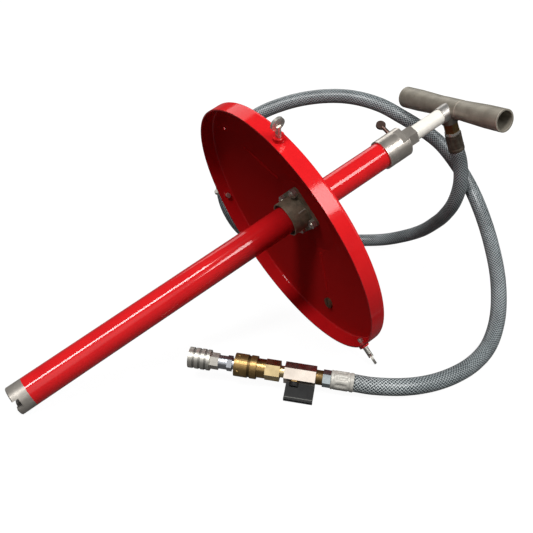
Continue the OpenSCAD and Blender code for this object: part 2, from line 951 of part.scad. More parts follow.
module head_screw() {
    color("silver")
        lying()
            sideways(head_screw_turn, head_screw_z)
                spade_screw(
                    head_screw_d / 2, packing_r + run_gap, head_screw_reach - head_spade_len,
                    head_screw_reach, head_spade_w, head_spade_t
                );
}

// Plunger

module plunger_rod() {
    color("white")
        lying()
            difference() {
                pipe(rod_r, rod_ir, rod_z0, neck_z0);
                sideways(90, piston_pin_z)
                    bar(pin_r + seat_fit, -rod_d, rod_d);
            }
}

module piston_body() {
    color("silver")
        lying()
            difference() {
                union() {
                    bar(piston_screw_r, piston_z0, piston_flange_z0);
                    bar(piston_flange_r, piston_flange_z0, rod_z0);
                    bar(rod_ir - seat_fit, rod_z0, piston_seat_z);
                }
                bar(piston_seat_r, piston_z0 - eps, piston_seat_z + eps);
            }
}

module piston_cup() {
    color("saddlebrown")
        lying()
            difference() {
                bar(cup_r, cup_z0, cup_z0 + cup_len);
                bar(piston_screw_r + seat_fit, cup_z0 - eps, piston_flange_z0 + eps);
                bar(piston_flange_r + seat_fit, piston_flange_z0, cup_z0 + cup_len + eps);
            }
}

module piston_nut() {
    color("gray")
        lying()
            difference() {
                hexagon(piston_nut_af, piston_nut_z0, cup_z0);
                bar(piston_screw_r + seat_fit, piston_nut_z0 - eps, cup_z0 + eps);
            }
}

module piston_ball() {
    color("gainsboro")
        lying()
            translate([0, 0, piston_ball_z])
                sphere(r = piston_ball_r);
}

module piston_ball_pin() {
    color("gray")
        lying()
            sideways(90, piston_pin_z)
                bar(pin_r, -rod_r + pin_inset, rod_r - pin_inset);
}

// Handle and outlet

module handle_neck() {
    color("silver")
        lying()
            difference() {
                union() {
                    bar(rod_ir - seat_fit, neck_z0 - neck_spigot_len, neck_z0 + eps);
                    bar(neck_r, neck_z0, bar_z);
                    sideways(0, outlet_z)
                        bar(neck_r, 0, outlet_reach);
                }
                sideways(90, bar_z)
                    bar(sleeve_r, -sleeve_len, sleeve_len);
                passage();
            }
}

module handle_sleeve() {
    color("dimgray")
        lying()
            difference() {
                sideways(90, bar_z) {
                    bar(sleeve_r, -grip_root, grip_root);
                    bar(grip_spigot_r, -grip_root - grip_spigot_len, grip_root + grip_spigot_len);
                }
                passage();
            }
}

// Grip tube to one side of the sleeve, flared and then straight
module grip(turn) {
    color("dimgray")
        lying()
            sideways(turn, bar_z)
                rotate_extrude()
                    polygon([
                        [grip_root_r - grip_wall, grip_root], [grip_root_r, grip_root],
                        [grip_r, grip_bend], [grip_r, bar_len / 2],
                        [grip_r - grip_wall, bar_len / 2], [grip_r - grip_wall, grip_bend]
                    ]);
}

module grip_near() {
    grip(-90);
}

module grip_far() {
    grip(90);
}

module outlet_nipple() {
    color("goldenrod")
        on_outlet()
            difference() {
                hexagon(nipple_af, outlet_reach, nipple_end);
                bar(passage_r, outlet_reach - eps, nipple_end + eps);
            }
}

module outlet_ring() {
    color("silver")
        on_outlet()
            pipe(ring_r, passage_r, nipple_end, ring_end);
}

module outlet_ferrule() {
    color("saddlebrown")
        on_outlet()
            ferrule(ring_end, hose_start);
}

// Hose and its end

module hose_run() {
    color("slategray")
        swept(hose_points, hose_d / 2, hose_sides);
}

module end_ferrule() {
    color("gainsboro")
        in_chain()
            ferrule(end_ferrule_z, chain_end);
}

module swivel_nut() {
    color("silver")
        in_chain()
            difference() {
                hexagon(swivel_af, swivel_z, end_ferrule_z, hex_turn);
                bar(passage_r, swivel_z - eps, end_ferrule_z + eps);
            }
}

module hose_tail() {
    color("goldenrod")
        in_chain()
            difference() {
                union() {
                    bar(chamber_r - seat_fit, chamber_z1, tail_z);
                    bar(tail_r, tail_z, swivel_z);
                }
                bar(passage_r, stem_z, swivel_z + eps);
            }
}

// Ball valve

module valve_body() {
    color("tan")
        difference() {
            in_chain()
                difference() {
                    hexagon(valve_af, valve_z, tail_z, hex_turn);
                    bar(valve_thread_r + seat_fit, valve_z - eps, chamber_z0);
                    bar(chamber_r, chamber_z0, tail_z + eps);
                }
            on_stem()
                bar(stem_r + slide_fit, 0, valve_af);
        }
}

module valve_seats() {
    color("white")
        in_chain()
            difference() {
                union() {
                    pipe(chamber_r - seat_fit, valve_bore_r, chamber_z0, chamber_z0 + seat_len);
                    pipe(chamber_r - seat_fit, valve_bore_r, chamber_z1 - seat_len, chamber_z1);
                }
                translate([0, 0, stem_z])
                    sphere(r = valve_ball_r + slide_fit);
            }
}

module valve_ball() {
    color("gainsboro")
        on_stem()
            difference() {
                sphere(r = valve_ball_r);
                rotate([0, 90, 0])
                    bar(valve_bore_r, -valve_ball_d, valve_ball_d);
                bar(valve_ball_r, ball_flat, valve_ball_d);
                translate([0, 0, ball_flat])
                    cube([valve_ball_d, tang_t + 2 * seat_fit, 2 * (tang_depth + seat_fit)], center = true);
            }
}

module valve_stem() {
    color("gray")
        on_stem()
            union() {
                bar(stem_r, ball_flat + seat_fit, hub_z0);
                bar(stem_tip_r, hub_z0 - eps, hub_z0 + stem_tip_len);
                translate([-tang_w / 2, -tang_t / 2, ball_flat - tang_depth])
                    cube([tang_w, tang_t, tang_depth + eps]);
            }
}

module stem_nut() {
    color("gray")
        on_stem()
            difference() {
                hexagon(stem_nut_af, valve_face, valve_face + stem_nut_h);
                bar(stem_r + slide_fit, valve_face - eps, valve_face + stem_nut_h + eps);
            }
}

module valve_lever() {
    color("black")
        on_stem()
            difference() {
                union() {
                    bar(hub_r, hub_z0, hub_z0 + hub_h);
                    translate([-lever_short, -lever_t / 2, hub_z0])
                        cube([lever_short + lever_long, lever_t, lever_reach - hub_z0]);
                    translate([-lever_short, -lip_t / 2, lever_reach - lip_h])
                        cube([lever_short + lever_long, lip_t, lip_h]);
                }
                bar(stem_tip_r + seat_fit, hub_z0 - eps, hub_z0 + stem_tip_len);
                sideways(-90, lever_screw_z)
                    bar(lever_screw_r + seat_fit, 0, hub_r + eps);
            }
}

module lever_screw() {
    color("silver")
        on_stem()
            sideways(-90, lever_screw_z)
                bar(lever_screw_r, stem_tip_r + seat_fit, hub_r);
}

// Brass coupler

module coupler_body() {
    color("goldenrod")
        in_chain()
            difference() {
                union() {
                    bar(coupler_front_r, coupler_z, coupler_z + coupler_shoulder);
                    bar(coupler_back_r, coupler_z + coupler_shoulder, coupler_hex_z);
                    hexagon(coupler_af, coupler_hex_z, coupler_hex_z + coupler_hex_len, hex_turn);
                    bar(valve_thread_r, coupler_hex_z + coupler_hex_len, chamber_z0 - thread_gap);
                }
                bar(coupler_bore_r, coupler_z - eps, coupler_z + coupler_depth);
                bar(passage_r, coupler_z, stem_z);
                bar(coupler_bore_r + seal_depth, coupler_z + seal_z, coupler_z + seal_z + seal_w);
                ball_holes(coupler_ball_r, coupler_ball_z, coupler_back_r);
            }
}

// Radial holes for the lock balls of a coupler
module ball_holes(r, z, reach) {
    for (k = [0:ball_count - 1])
        sideways(360 / ball_count * k, z)
            bar(r + seat_fit, 0, reach);
}

// Lock balls of a coupler, between its bore and its sleeve
module lock_balls(r, z, bore_r) {
    for (k = [0:ball_count - 1])
        sideways(360 / ball_count * k, z)
            translate([0, 0, bore_r + r + seat_fit])
                sphere(r = r);
}

// Seal in the groove of a coupler's bore
module seal(bore_r, inner_r, z) {
    pipe(bore_r + seal_depth - seat_fit, inner_r, z + seat_fit, z + seal_w - seat_fit);
}

module coupler_sleeve() {
    color("darkgoldenrod")
        in_chain()
            difference() {
                bar(coupler_sleeve_r, coupler_z, coupler_sleeve_end);
                bar(coupler_front_r + slide_fit, coupler_z - eps, coupler_z + coupler_lip + eps);
                bar(coupler_back_r + slide_fit, coupler_z + coupler_lip, coupler_sleeve_end + eps);
                groove(coupler_sleeve_r, sleeve_groove_depth, sleeve_groove_z0, sleeve_groove_z1);
            }
}

module coupler_spring() {
    color("silver")
        in_chain()
            swept(
                helix(
                    (coupler_front_r + coupler_back_r) / 2,
                    coupler_z + coupler_lip + sleeve_travel + run_gap + wire_r,
                    coupler_z + coupler_shoulder - wire_r - seat_fit, spring_turns
                ), wire_r, 6
            );
}

module coupler_balls() {
    color("silver")
        in_chain()
            lock_balls(coupler_ball_r, coupler_ball_z, coupler_bore_r);
}

module coupler_seal() {
    color("black")
        in_chain()
            seal(coupler_bore_r, plug_insert_r + seat_fit, coupler_z + seal_z);
}

// Plug nipple and end coupler

module plug_nipple() {
    color("silver")
        in_chain()
            difference() {
                union() {
                    bar(plug_tail_r - seat_fit, plug_z - plug_tail_len, plug_z);
                    bar(plug_neck_r, plug_z, plug_hex_z);
                    hexagon(plug_af, plug_hex_z, plug_step_z, hex_turn);
                    bar(plug_insert_r, plug_step_z, coupler_z + plug_insert_len);
                }
                bar(plug_bore_r, plug_z - plug_tail_len - eps, coupler_z + plug_insert_len + eps);
            }
}

module tip_body() {
    color("silver")
        in_chain()
            difference() {
                union() {
                    bar(tip_front_r, 0, tip_hex_z);
                    bar(tip_shoulder_r, tip_hex_z - tip_shoulder_len, tip_hex_z);
                    hexagon(tip_af, tip_hex_z, plug_z, hex_turn);
                }
                bar(tip_bore_r, -eps, tip_depth);
                bar(plug_bore_r, 0, plug_z);
                bar(plug_tail_r, plug_z - plug_tail_len, plug_z + eps);
                bar(tip_bore_r + seal_depth, seal_z, seal_z + seal_w);
                ball_holes(tip_ball_r, tip_ball_z, tip_sleeve_r);
            }
}

module tip_sleeve() {
    color("lightgray")
        in_chain()
            difference() {
                bar(tip_sleeve_r, 0, tip_sleeve_len);
                bar(tip_front_r + slide_fit, -eps, tip_lip + eps);
                bar(tip_shoulder_r + slide_fit, tip_lip, tip_sleeve_len + eps);
                for (z = tip_groove_z)
                    groove(tip_sleeve_r, tip_groove_depth, z, z + tip_groove_w);
            }
}

module tip_spring() {
    color("silver")
        in_chain()
            swept(
                helix(
                    (tip_front_r + tip_shoulder_r) / 2,
                    tip_lip + sleeve_travel + run_gap + wire_r,
                    tip_hex_z - tip_shoulder_len - wire_r - seat_fit, spring_turns
                ), wire_r, 6
            );
}

module tip_balls() {
    color("silver")
        in_chain()
            lock_balls(tip_ball_r, tip_ball_z, tip_bore_r);
}

module tip_seal() {
    color("black")
        in_chain()
            seal(tip_bore_r, tip_bore_r + seat_fit, seal_z);
}

barrel_tube();
foot_body();
foot_seal();
foot_ball();
foot_ball_pin();
cover_pan();
screw_bosses();
cover_screw_near();
cover_screw_far();
cover_screw_top();
collar();
collar_bolts();
collar_nuts();
collar_washers();
vent_plug();
vent_nut();
head_cap();
rod_bush();
gland_packing();
gland_nut();
head_screw();
plunger_rod();
piston_body();
piston_cup();
piston_nut();
piston_ball();
piston_ball_pin();
handle_neck();
handle_sleeve();
grip_near();
grip_far();
outlet_nipple();
outlet_ring();
outlet_ferrule();
hose_run();
end_ferrule();
swivel_nut();
hose_tail();
valve_body();
valve_seats();
valve_ball();
valve_stem();
stem_nut();
valve_lever();
lever_screw();
coupler_body();
coupler_sleeve();
coupler_spring();
coupler_balls();
coupler_seal();
plug_nipple();
tip_body();
tip_sleeve();
tip_spring();
tip_balls();
tip_seal();
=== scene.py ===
"""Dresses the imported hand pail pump: hose, crimped ferrules, small fittings, finishes, studio and camera."""

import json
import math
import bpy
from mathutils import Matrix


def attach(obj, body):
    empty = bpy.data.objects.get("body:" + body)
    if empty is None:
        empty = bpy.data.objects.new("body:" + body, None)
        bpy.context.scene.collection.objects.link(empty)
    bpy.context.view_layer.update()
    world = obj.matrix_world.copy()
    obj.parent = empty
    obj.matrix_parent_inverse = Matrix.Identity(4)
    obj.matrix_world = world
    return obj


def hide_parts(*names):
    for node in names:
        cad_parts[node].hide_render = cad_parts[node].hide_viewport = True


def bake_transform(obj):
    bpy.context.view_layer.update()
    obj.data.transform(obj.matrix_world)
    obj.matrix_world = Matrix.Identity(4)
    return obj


bl_info = {
    "name": "Hand pail pump",
    "version": (1, 0, 0),
    "blender": (4, 5, 0),
    "location": "View3D > Sidebar > Pump",
    "description": "Builds the hose, ferrules, small fittings, finishes, studio and camera of a hand pail pump",
    "category": "Object",
}

import bmesh
import bpy
from bpy.props import FloatProperty, FloatVectorProperty, IntProperty, PointerProperty
from mathutils import Euler, Matrix, Vector

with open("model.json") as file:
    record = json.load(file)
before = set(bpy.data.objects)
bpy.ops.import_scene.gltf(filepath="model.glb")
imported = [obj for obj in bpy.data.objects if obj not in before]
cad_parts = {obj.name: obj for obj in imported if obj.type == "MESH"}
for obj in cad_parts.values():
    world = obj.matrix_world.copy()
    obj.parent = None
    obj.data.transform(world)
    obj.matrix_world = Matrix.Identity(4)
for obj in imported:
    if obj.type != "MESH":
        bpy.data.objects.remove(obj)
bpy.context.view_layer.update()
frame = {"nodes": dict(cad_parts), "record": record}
nodes = frame["nodes"]


def matrix_of(place, turn):
    """Matrix of a frame from its origin and its turn."""
    return Matrix.Translation(place) @ turn.to_matrix().to_4x4()


def axes_at(place, x, y, z):
    """Matrix of a frame from its origin and its three axes."""
    return Matrix.Translation(place) @ Matrix((x, y, z)).transposed().to_4x4()


# All lengths are in metres
X_AXIS = Vector((1.0, 0.0, 0.0))
Z_AXIS = Vector((0.0, 0.0, 1.0))

# Frames of the pump and of the chain of valve and couplers: Z runs along each, X is down as it lies
PUMP_FRAME = (Vector((-0.28587, -0.00549, 0.01471)), Euler((0.0, math.radians(66.3617), 0.0)))
CHAIN_FRAME = (Vector((-0.1015, -0.0364, 0.03039)), Euler((0.0, math.radians(94.5), math.radians(-39.1))))
PUMP = matrix_of(*PUMP_FRAME)
CHAIN = matrix_of(*CHAIN_FRAME)
PUMP_AXIS = PUMP.to_3x3() @ Z_AXIS
PUMP_DOWN = PUMP.to_3x3() @ X_AXIS

# The cover sits beside the barrel's axis; its panel turns into the flange between two radii
COVER_FRAME = (PUMP @ Vector((0.006, -0.009, 0.0)), PUMP_FRAME[1])
PANEL_EDGE = (0.1530, 0.1560)
PANEL_FACING = (-0.2, 0.0)

# The collar's outside, the rise of its seam and the face where the seam ends
COLLAR_RADIUS = 0.0210
SEAM_RISE = (0.0001, 0.0004)
COLLAR_PLATE_Z = 0.3738

# Bright lines on the near grip, rubbed bright and also painted as highlights: the middle of each across the
# pump, and half its width
GRIP_LINES = ((-0.0216, 0.0006), (-0.0924, 0.0005))

# The outlet boss begins between these distances from the rod's axis
BOSS_REACH = (0.01055, 0.01070)

# The lever's stem points out of the chain; the painted highlight along the lip's edge lies this far along it
STEM_TURN = math.radians(58.0)
STEM = Vector((math.cos(STEM_TURN), -math.sin(STEM_TURN), 0.0))
LIP_REACH = 0.0290
LIP_HIGHLIGHT = (0.0003, 0.0008)

# Couplers: radii of the sleeves, depths between which painted shade darkens their grooves, and the brass
# hexagon's start
SLEEVE_RADIUS = 0.01275
TIP_SLEEVE_RADIUS = 0.0115
GROOVE_UNSHADED = 0.0001
GROOVE_SHADED = 0.0004
COUPLER_HEX = (0.0851, 0.0855)

# Knurled band of the brass sleeve: where it fades in and out along the chain, and how fine it is
KNURL_IN = (0.0583, 0.0588)
KNURL_OUT = (0.0656, 0.0661)
KNURL_ROUND = 22.0
KNURL_ALONG = 2600.0

# Pin heads in the brass sleeve
PIN_COUNT = 4
PIN_Z = 0.0560
PIN_TURN = math.radians(-85.0)
PIN_FLATNESS = 0.5

# Ferrules: the outlet's place on the pump, where each ferrule begins and ends, and the fineness of their mesh
OUTLET_Z = 0.6075
OUTLET = PUMP @ matrix_of((0.0, 0.0, OUTLET_Z), Euler((0.0, math.radians(90.0), 0.0)))
OUTLET_FERRULE = (0.031, 0.056)
END_FERRULE = (0.1565, 0.1815)
FERRULE_STEPS = 40
FERRULE_SIDES = 96
FERRULE_EDGE = 0.0012

# Crimps: the jaws' middle and reach along a ferrule, in shares of its length, and the shape of their dents
JAW_MIDDLE = 0.45
JAW_REACH = 0.27
JAW_FLATNESS = 0.35
JAW_SHARPNESS = 1.5

# Rolled grooves of a ferrule: middle and width in shares of its length, depth in shares of the crimps' depth
ROLLS = ((0.80, 0.035, 0.6), (0.12, 0.03, 0.42))

# Braid: a thread's core and edge in shares of the pitch, and what still shows of it where it passes under
THREAD_EDGE = (0.08, 0.23)
THREAD_UNDER = 0.20

# Where the threads turn whiter near the valve, in circumferences of the hose from the handle
BARE_THREADS = (24.9, 25.9)

# Route of the hose, from the handle's ferrule behind the cover and back to the valve's ferrule
HOSE_LEAD = 0.020
HOSE_ROUTE = [
    (0.308, -0.003, 0.161), (0.314, 0.010, 0.130), (0.324, 0.037, 0.100), (0.337, 0.070, 0.075),
    (0.345, 0.106, 0.050), (0.343, 0.142, 0.030), (0.329, 0.174, 0.016), (0.304, 0.202, 0.010),
    (0.270, 0.222, 0.010), (0.228, 0.232, 0.010), (0.184, 0.234, 0.014), (0.142, 0.228, 0.028),
    (0.106, 0.218, 0.052), (0.078, 0.209, 0.084), (0.061, 0.204, 0.122), (0.059, 0.202, 0.164),
    (0.076, 0.203, 0.203), (0.109, 0.201, 0.231), (0.149, 0.187, 0.248), (0.185, 0.161, 0.258),
    (0.217, 0.130, 0.260), (0.245, 0.099, 0.252), (0.268, 0.077, 0.237), (0.290, 0.060, 0.221),
    (0.311, 0.045, 0.202), (0.326, 0.026, 0.176), (0.334, 0.003, 0.147), (0.331, -0.025, 0.119),
    (0.316, -0.062, 0.090), (0.294, -0.100, 0.060), (0.267, -0.131, 0.031), (0.233, -0.155, 0.014),
    (0.192, -0.174, 0.010), (0.151, -0.184, 0.010), (0.115, -0.185, 0.011), (0.084, -0.179, 0.013),
]

# CAD pieces whose finish isn't that of their slot
OWN_FINISH = {
    "cover_pan": "pan", "vent_plug": "vent", "vent_nut": "vent", "foot_body": "foot",
    "head_screw": "dull_steel", "handle_neck": "neck", "outlet_nipple": "dark_brass",
    "outlet_ferrule": "outlet_ferrule", "end_ferrule": "end_ferrule", "swivel_nut": "nut",
    "hose_tail": "dark_brass", "coupler_body": "hex_brass", "coupler_sleeve": "coupler_sleeve",
    "plug_nipple": "plug", "tip_body": "tip", "tip_sleeve": "tip_sleeve",
}

# Camera, with sensor and lens in millimetres
CAMERA_PLACE = Vector((-0.3620, -0.6807, 0.4355))
CAMERA_FORWARD = Vector((0.4459, 0.8030, -0.3954)).normalized()
CAMERA_ABOVE = Vector((0.195, 0.344, 0.9185))
CAMERA_SENSOR = 36.0
CAMERA_LENS = 48.63

# Lamps: name, setting of its power, place, target, size and direction of its longer side
LAMPS = (
    ("Strip lamp", "strip_power", (-0.75, -0.545, 1.46), (-0.15, 0.0, 0.08), (0.80, 0.30), PUMP_AXIS),
    ("Key lamp", "key_power", (0.20, -1.30, 1.20), (0.05, 0.0, 0.18), (0.72, 0.58), X_AXIS),
    ("Fill lamp", "fill_power", (1.3, -1.1, 1.0), (0.1, 0.0, 0.1), (1.2, 1.2), Z_AXIS),
    ("Back lamp", "back_power", (0.5, 1.6, 1.5), (0.0, 0.1, 0.1), (1.6, 1.0), X_AXIS),
)

# Floor: half its width, its two greys, and the distances between which its glow turns full white
FLOOR_SIZE = 9.0
FLOOR_DARK = (0.065, 0.065, 0.065, 1.0)
FLOOR_LIGHT = (0.075, 0.075, 0.075, 1.0)
FLOOR_FADE = (0.45, 1.3)

# What metal shows of the room: a white card in one direction, and a wall that gets darker upwards
FRONT_CARD = Vector((-0.45, -0.80, 0.40)).normalized()
CARD_EDGE = (0.86, 0.97)
WALL_RISE = (0.02, 0.25)
WALL_GLOW = (0.25, 0.08)

# The light from all round gets stronger upwards
SKY_RISE = (0.0, 0.9)
SKY_SHARE = (0.35, 1.65)


def length_prop(name, description, default, low, high):
    return FloatProperty(name=name, description=description, default=default, min=low, max=high, unit="LENGTH")


def count_prop(name, description, default, low, high):
    return IntProperty(name=name, description=description, default=default, min=low, max=high)


def colour_prop(name, description, default):
    return FloatVectorProperty(
        name=name, description=description, default=(*default, 1.0), subtype="COLOR", size=4, min=0.0, max=1.0
    )


def power_prop(name, description, default):
    return FloatProperty(name=name, description=description, default=default, min=0.0, unit="POWER")


def strength_prop(name, description, default, **limits):
    return FloatProperty(name=name, description=description, default=default, min=0.0, **limits)


class PumpSizes(bpy.types.PropertyGroup):
    """Sizes of the pieces that are made here."""

    hose_diameter: length_prop("Hose diameter", "Outer diameter of the hose", 0.019, 0.015, 0.0195)
    hose_step: length_prop("Hose step", "Distance between two rings of the hose's mesh", 0.0035, 0.002, 0.01)
    hose_sides: count_prop("Hose sides", "Points round the hose", 32, 16, 64)
    braid_threads: count_prop("Braid threads", "Threads round the hose, each way", 16, 8, 40)
    braid_rise: FloatProperty(
        name="Braid rise", description="Threads passed in one circumference along the hose",
        default=15.0, min=6.0, max=40.0,
    )
    ferrule_radius: length_prop("Ferrule radius", "Outer radius of the crimped ferrules", 0.0104, 0.0098, 0.011)
    crimp_depth: length_prop("Crimp depth", "How far the crimps press into a ferrule", 0.0013, 0.0003, 0.0015)
    crimp_jaws: count_prop("Crimp jaws", "Dents round a crimped ferrule", 8, 4, 12)
    pin_radius: length_prop("Pin radius", "Radius of the round pins in the brass sleeve", 0.0019, 0.001, 0.003)


class PumpColours(bpy.types.PropertyGroup):
    """Colours of the finishes."""

    red: colour_prop("Red enamel", "Colour of the barrel and cover", (0.58, 0.010, 0.012))
    # Painted shade: the darker red inside the cover stands in for the shade that falls there
    red_inside_shade: colour_prop("Red inside", "Colour inside the cover", (0.50, 0.012, 0.012))
    red_deep: colour_prop("Deep red enamel", "Colour where the enamel is thicker", (0.53, 0.008, 0.011))
    aluminium: colour_prop("Aluminium", "Turned aluminium of the foot, cap and gland", (0.64, 0.59, 0.525))
    steel: colour_prop("Steel", "Satin steel of the handle's neck", (0.55, 0.53, 0.50))
    raw_steel: colour_prop("Raw steel", "Bare tube of the handle bar", (0.29, 0.265, 0.215))
    zinc: colour_prop("Zinc", "Plated screws, nuts and couplers", (0.72, 0.69, 0.62))
    hex_brass: colour_prop("Bright brass", "Hexagon of the coupler", (0.74, 0.57, 0.30))
    dull_steel: colour_prop("Dull steel", "Dark face of the head cap's screw", (0.14, 0.09, 0.075))
    bronze: colour_prop("Bronze", "Dark collar", (0.31, 0.25, 0.175))
    brass: colour_prop("Brass", "Worn brass of the coupler", (0.34, 0.215, 0.080))
    nickel: colour_prop("Warm plating", "Plating of the ball valve", (0.86, 0.76, 0.66))
    rod: colour_prop("Rod", "White plastic of the plunger rod", (0.76, 0.74, 0.67))
    black: colour_prop("Black", "Lever and seals", (0.010, 0.010, 0.010))
    hose: colour_prop("Hose", "Wall of the hose between the threads", (0.016, 0.023, 0.027))
    thread: colour_prop("Braid", "Threads of the hose's braid", (0.47, 0.52, 0.53))
    bare_thread: colour_prop("Bare braid", "Whiter threads near the valve's ferrule", (0.62, 0.66, 0.66))
    nut: colour_prop("Swivel nut", "Grey-blue nut at the hose's end", (0.40, 0.45, 0.46))
    # Painted highlight: colour of the light line painted along the edge of the lever's lip
    lip_highlight: colour_prop("Lip edge", "Worn edge of the lever's lip", (0.13, 0.13, 0.12))
    leather: colour_prop("Leather", "Oiled leather of the piston cup", (0.25, 0.13, 0.06))
    plug: colour_prop("Plug", "Bluish steel of the plug", (0.50, 0.52, 0.55))
    pale: colour_prop("Pale ferrule", "Off-white ferrule at the valve", (0.53, 0.51, 0.46))
    umber: colour_prop("Umber", "Brown ferrule at the handle", (0.115, 0.092, 0.066))
    vent: colour_prop("Vent plug", "Tarnished plug in the cover", (0.28, 0.20, 0.12))
    # Bright edges painted as highlights: the near grip's rims, which are also rubbed bright, and the collar's
    # seam
    edge_wear_and_highlight: colour_prop("Worn edge", "Bright rims of the grips and the collar's seam", (0.50, 0.45, 0.38))


class PumpStudio(bpy.types.PropertyGroup):
    """Light of the studio."""

    strip_power: power_prop("Strip power", "Power of the long lamp over the barrel", 19.0)
    key_power: power_prop("Key power", "Power of the wide lamp over the camera", 18.0)
    fill_power: power_prop("Fill power", "Power of the soft lamp at the right", 5.0)
    back_power: power_prop("Back power", "Power of the soft lamp behind the hose", 9.0)
    ambient: strength_prop("Ambient", "Strength of the light from all round", 0.20)
    front_card: strength_prop("Front card", "White card behind the camera, as metal shows it", 1.3)
    floor_glow: strength_prop("Floor glow", "White that the floor shows round the pump", 0.955)
    mirror_glow: strength_prop("Mirror glow", "Share of the floor's white that metal shows", 0.06, max=1.0)


def sizes():
    return bpy.context.scene.pump_sizes


def colours():
    return bpy.context.scene.pump_colours


def studio():
    return bpy.context.scene.pump_studio


def add_piece(name, mesh_maker, material, body=None):
    """Makes a smooth mesh object at the origin from a bmesh and lets it ride on a body."""
    bm = bmesh.new()
    mesh_maker(bm)
    mesh = bpy.data.meshes.new(name)
    bm.to_mesh(mesh)
    bm.free()
    for polygon in mesh.polygons:
        polygon.use_smooth = True
    mesh.materials.append(material)
    piece = bpy.data.objects.new(name, mesh)
    bpy.context.scene.collection.objects.link(piece)
    if body:
        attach(piece, body)
    return piece


class Tree:
    """Short ways to place and join the nodes of a material, a node group or the world."""

    def __init__(self, tree):
        self.tree = tree

    def add(self, kind, **settings):
        made = self.tree.nodes.new(kind)
        for key, value in settings.items():
            setattr(made, key, value)
        return made

    def join(self, source, target):
        self.tree.links.new(source, target)

    def feed(self, socket, value):
        """Links a socket, or sets its default where the value is plain."""
        if isinstance(value, bpy.types.NodeSocket):
            self.join(value, socket)
        elif value is not None:
            socket.default_value = value

    def math(self, operation, a, b=None):
        made = self.add("ShaderNodeMath", operation=operation)
        self.feed(made.inputs[0], a)
        self.feed(made.inputs[1], b)
        return made.outputs[0]

    def gap(self, value, middle):
        """How far a value is from a middle one."""
        return self.math("ABSOLUTE", self.math("SUBTRACT", value, middle))

    def span(self, value, low, high, to_low=0.0, to_high=1.0, smooth=False):
        """Takes the values from low to high over to new ones, and stays at the ends beyond them."""
        made = self.add("ShaderNodeMapRange", interpolation_type="SMOOTHSTEP" if smooth else "LINEAR")
        for socket, v in zip(made.inputs[:5], (value, low, high, to_low, to_high)):
            self.feed(socket, v)
        return made.outputs[0]

    def fade(self, value, low, high):
        """One up to low, nothing from high on."""
        return self.span(value, low, high, 1.0, 0.0)

    def between(self, mask, at_zero, at_one):
        """A number that follows a mask."""
        return self.span(mask, 0.0, 1.0, at_zero, at_one)

    def mix(self, factor, a, b):
        made = self.add("ShaderNodeMix", data_type="RGBA")
        self.feed(made.inputs[0], factor)
        self.feed(made.inputs[6], a)
        self.feed(made.inputs[7], b)
        return made.outputs[2]

    def noise(self, vector, scale, detail=3.0, roughness=0.7):
        made = self.add("ShaderNodeTexNoise")
        self.feed(made.inputs["Vector"], vector)
        for key, v in (("Scale", scale), ("Detail", detail), ("Roughness", roughness)):
            self.feed(made.inputs[key], v)
        return made.outputs["Fac"]

    def stretch(self, vector, factors):
        made = self.add("ShaderNodeVectorMath", operation="MULTIPLY")
        self.feed(made.inputs[0], vector)
        made.inputs[1].default_value = factors
        return made.outputs[0]

    def length(self, vector):
        made = self.add("ShaderNodeVectorMath", operation="LENGTH")
        self.join(vector, made.inputs[0])
        return made.outputs["Value"]

    def dot(self, vector, direction):
        made = self.add("ShaderNodeVectorMath", operation="DOT_PRODUCT")
        self.join(vector, made.inputs[0])
        made.inputs[1].default_value = direction
        return made.outputs["Value"]

    def parts(self, vector):
        """The X, Y and Z of a vector."""
        made = self.add("ShaderNodeSeparateXYZ")
        self.join(vector, made.inputs[0])
        return made.outputs

    def place(self, location=None, rotation=None):
        """Object coordinates, or the coordinates in a piece's own frame."""
        given = self.add("ShaderNodeTexCoord").outputs["Object"]
        if location is None:
            return given
        made = self.add("ShaderNodeMapping", vector_type="TEXTURE")
        self.join(given, made.inputs["Vector"])
        made.inputs["Location"].default_value = location
        made.inputs["Rotation"].default_value = rotation
        return made.outputs["Vector"]

    def reach(self, vector):
        """Distance from the Z axis."""
        return self.length(self.stretch(vector, (1.0, 1.0, 0.0)))

    def bump(self, height, strength, distance):
        made = self.add("ShaderNodeBump")
        self.join(height, made.inputs["Height"])
        made.inputs["Strength"].default_value = strength
        made.inputs["Distance"].default_value = distance
        return made.outputs["Normal"]

    def group(self, name, **values):
        made = self.add("ShaderNodeGroup", node_tree=bpy.data.node_groups[name])
        for key, value in values.items():
            self.feed(made.inputs[key], value)
        return made.outputs

    def mottle(self, where, scale, dark, light):
        return self.group("Mottle", Vector=where, Scale=scale, Dark=dark, Light=light)

    def turned_lines(self, where, density):
        return self.group("Turned lines", Vector=where, Density=density)["Lines"]

    def rays(self):
        """One for rays from the camera, and one for rays that mirrors and glass send on."""
        path = self.add("ShaderNodeLightPath").outputs
        return path["Is Camera Ray"], self.math("MAXIMUM", path["Is Glossy Ray"], path["Is Transmission Ray"])


def new_group(name, inputs, outputs):
    """An empty node group, with the outputs of its input node and the inputs of its output node."""
    made = bpy.data.node_groups.new(name, "ShaderNodeTree")
    for label, kind in inputs:
        made.interface.new_socket(name=label, in_out="INPUT", socket_type=kind)
    for label, kind in outputs:
        made.interface.new_socket(name=label, in_out="OUTPUT", socket_type=kind)
    tree = Tree(made)
    return tree, tree.add("NodeGroupInput").outputs, tree.add("NodeGroupOutput").inputs


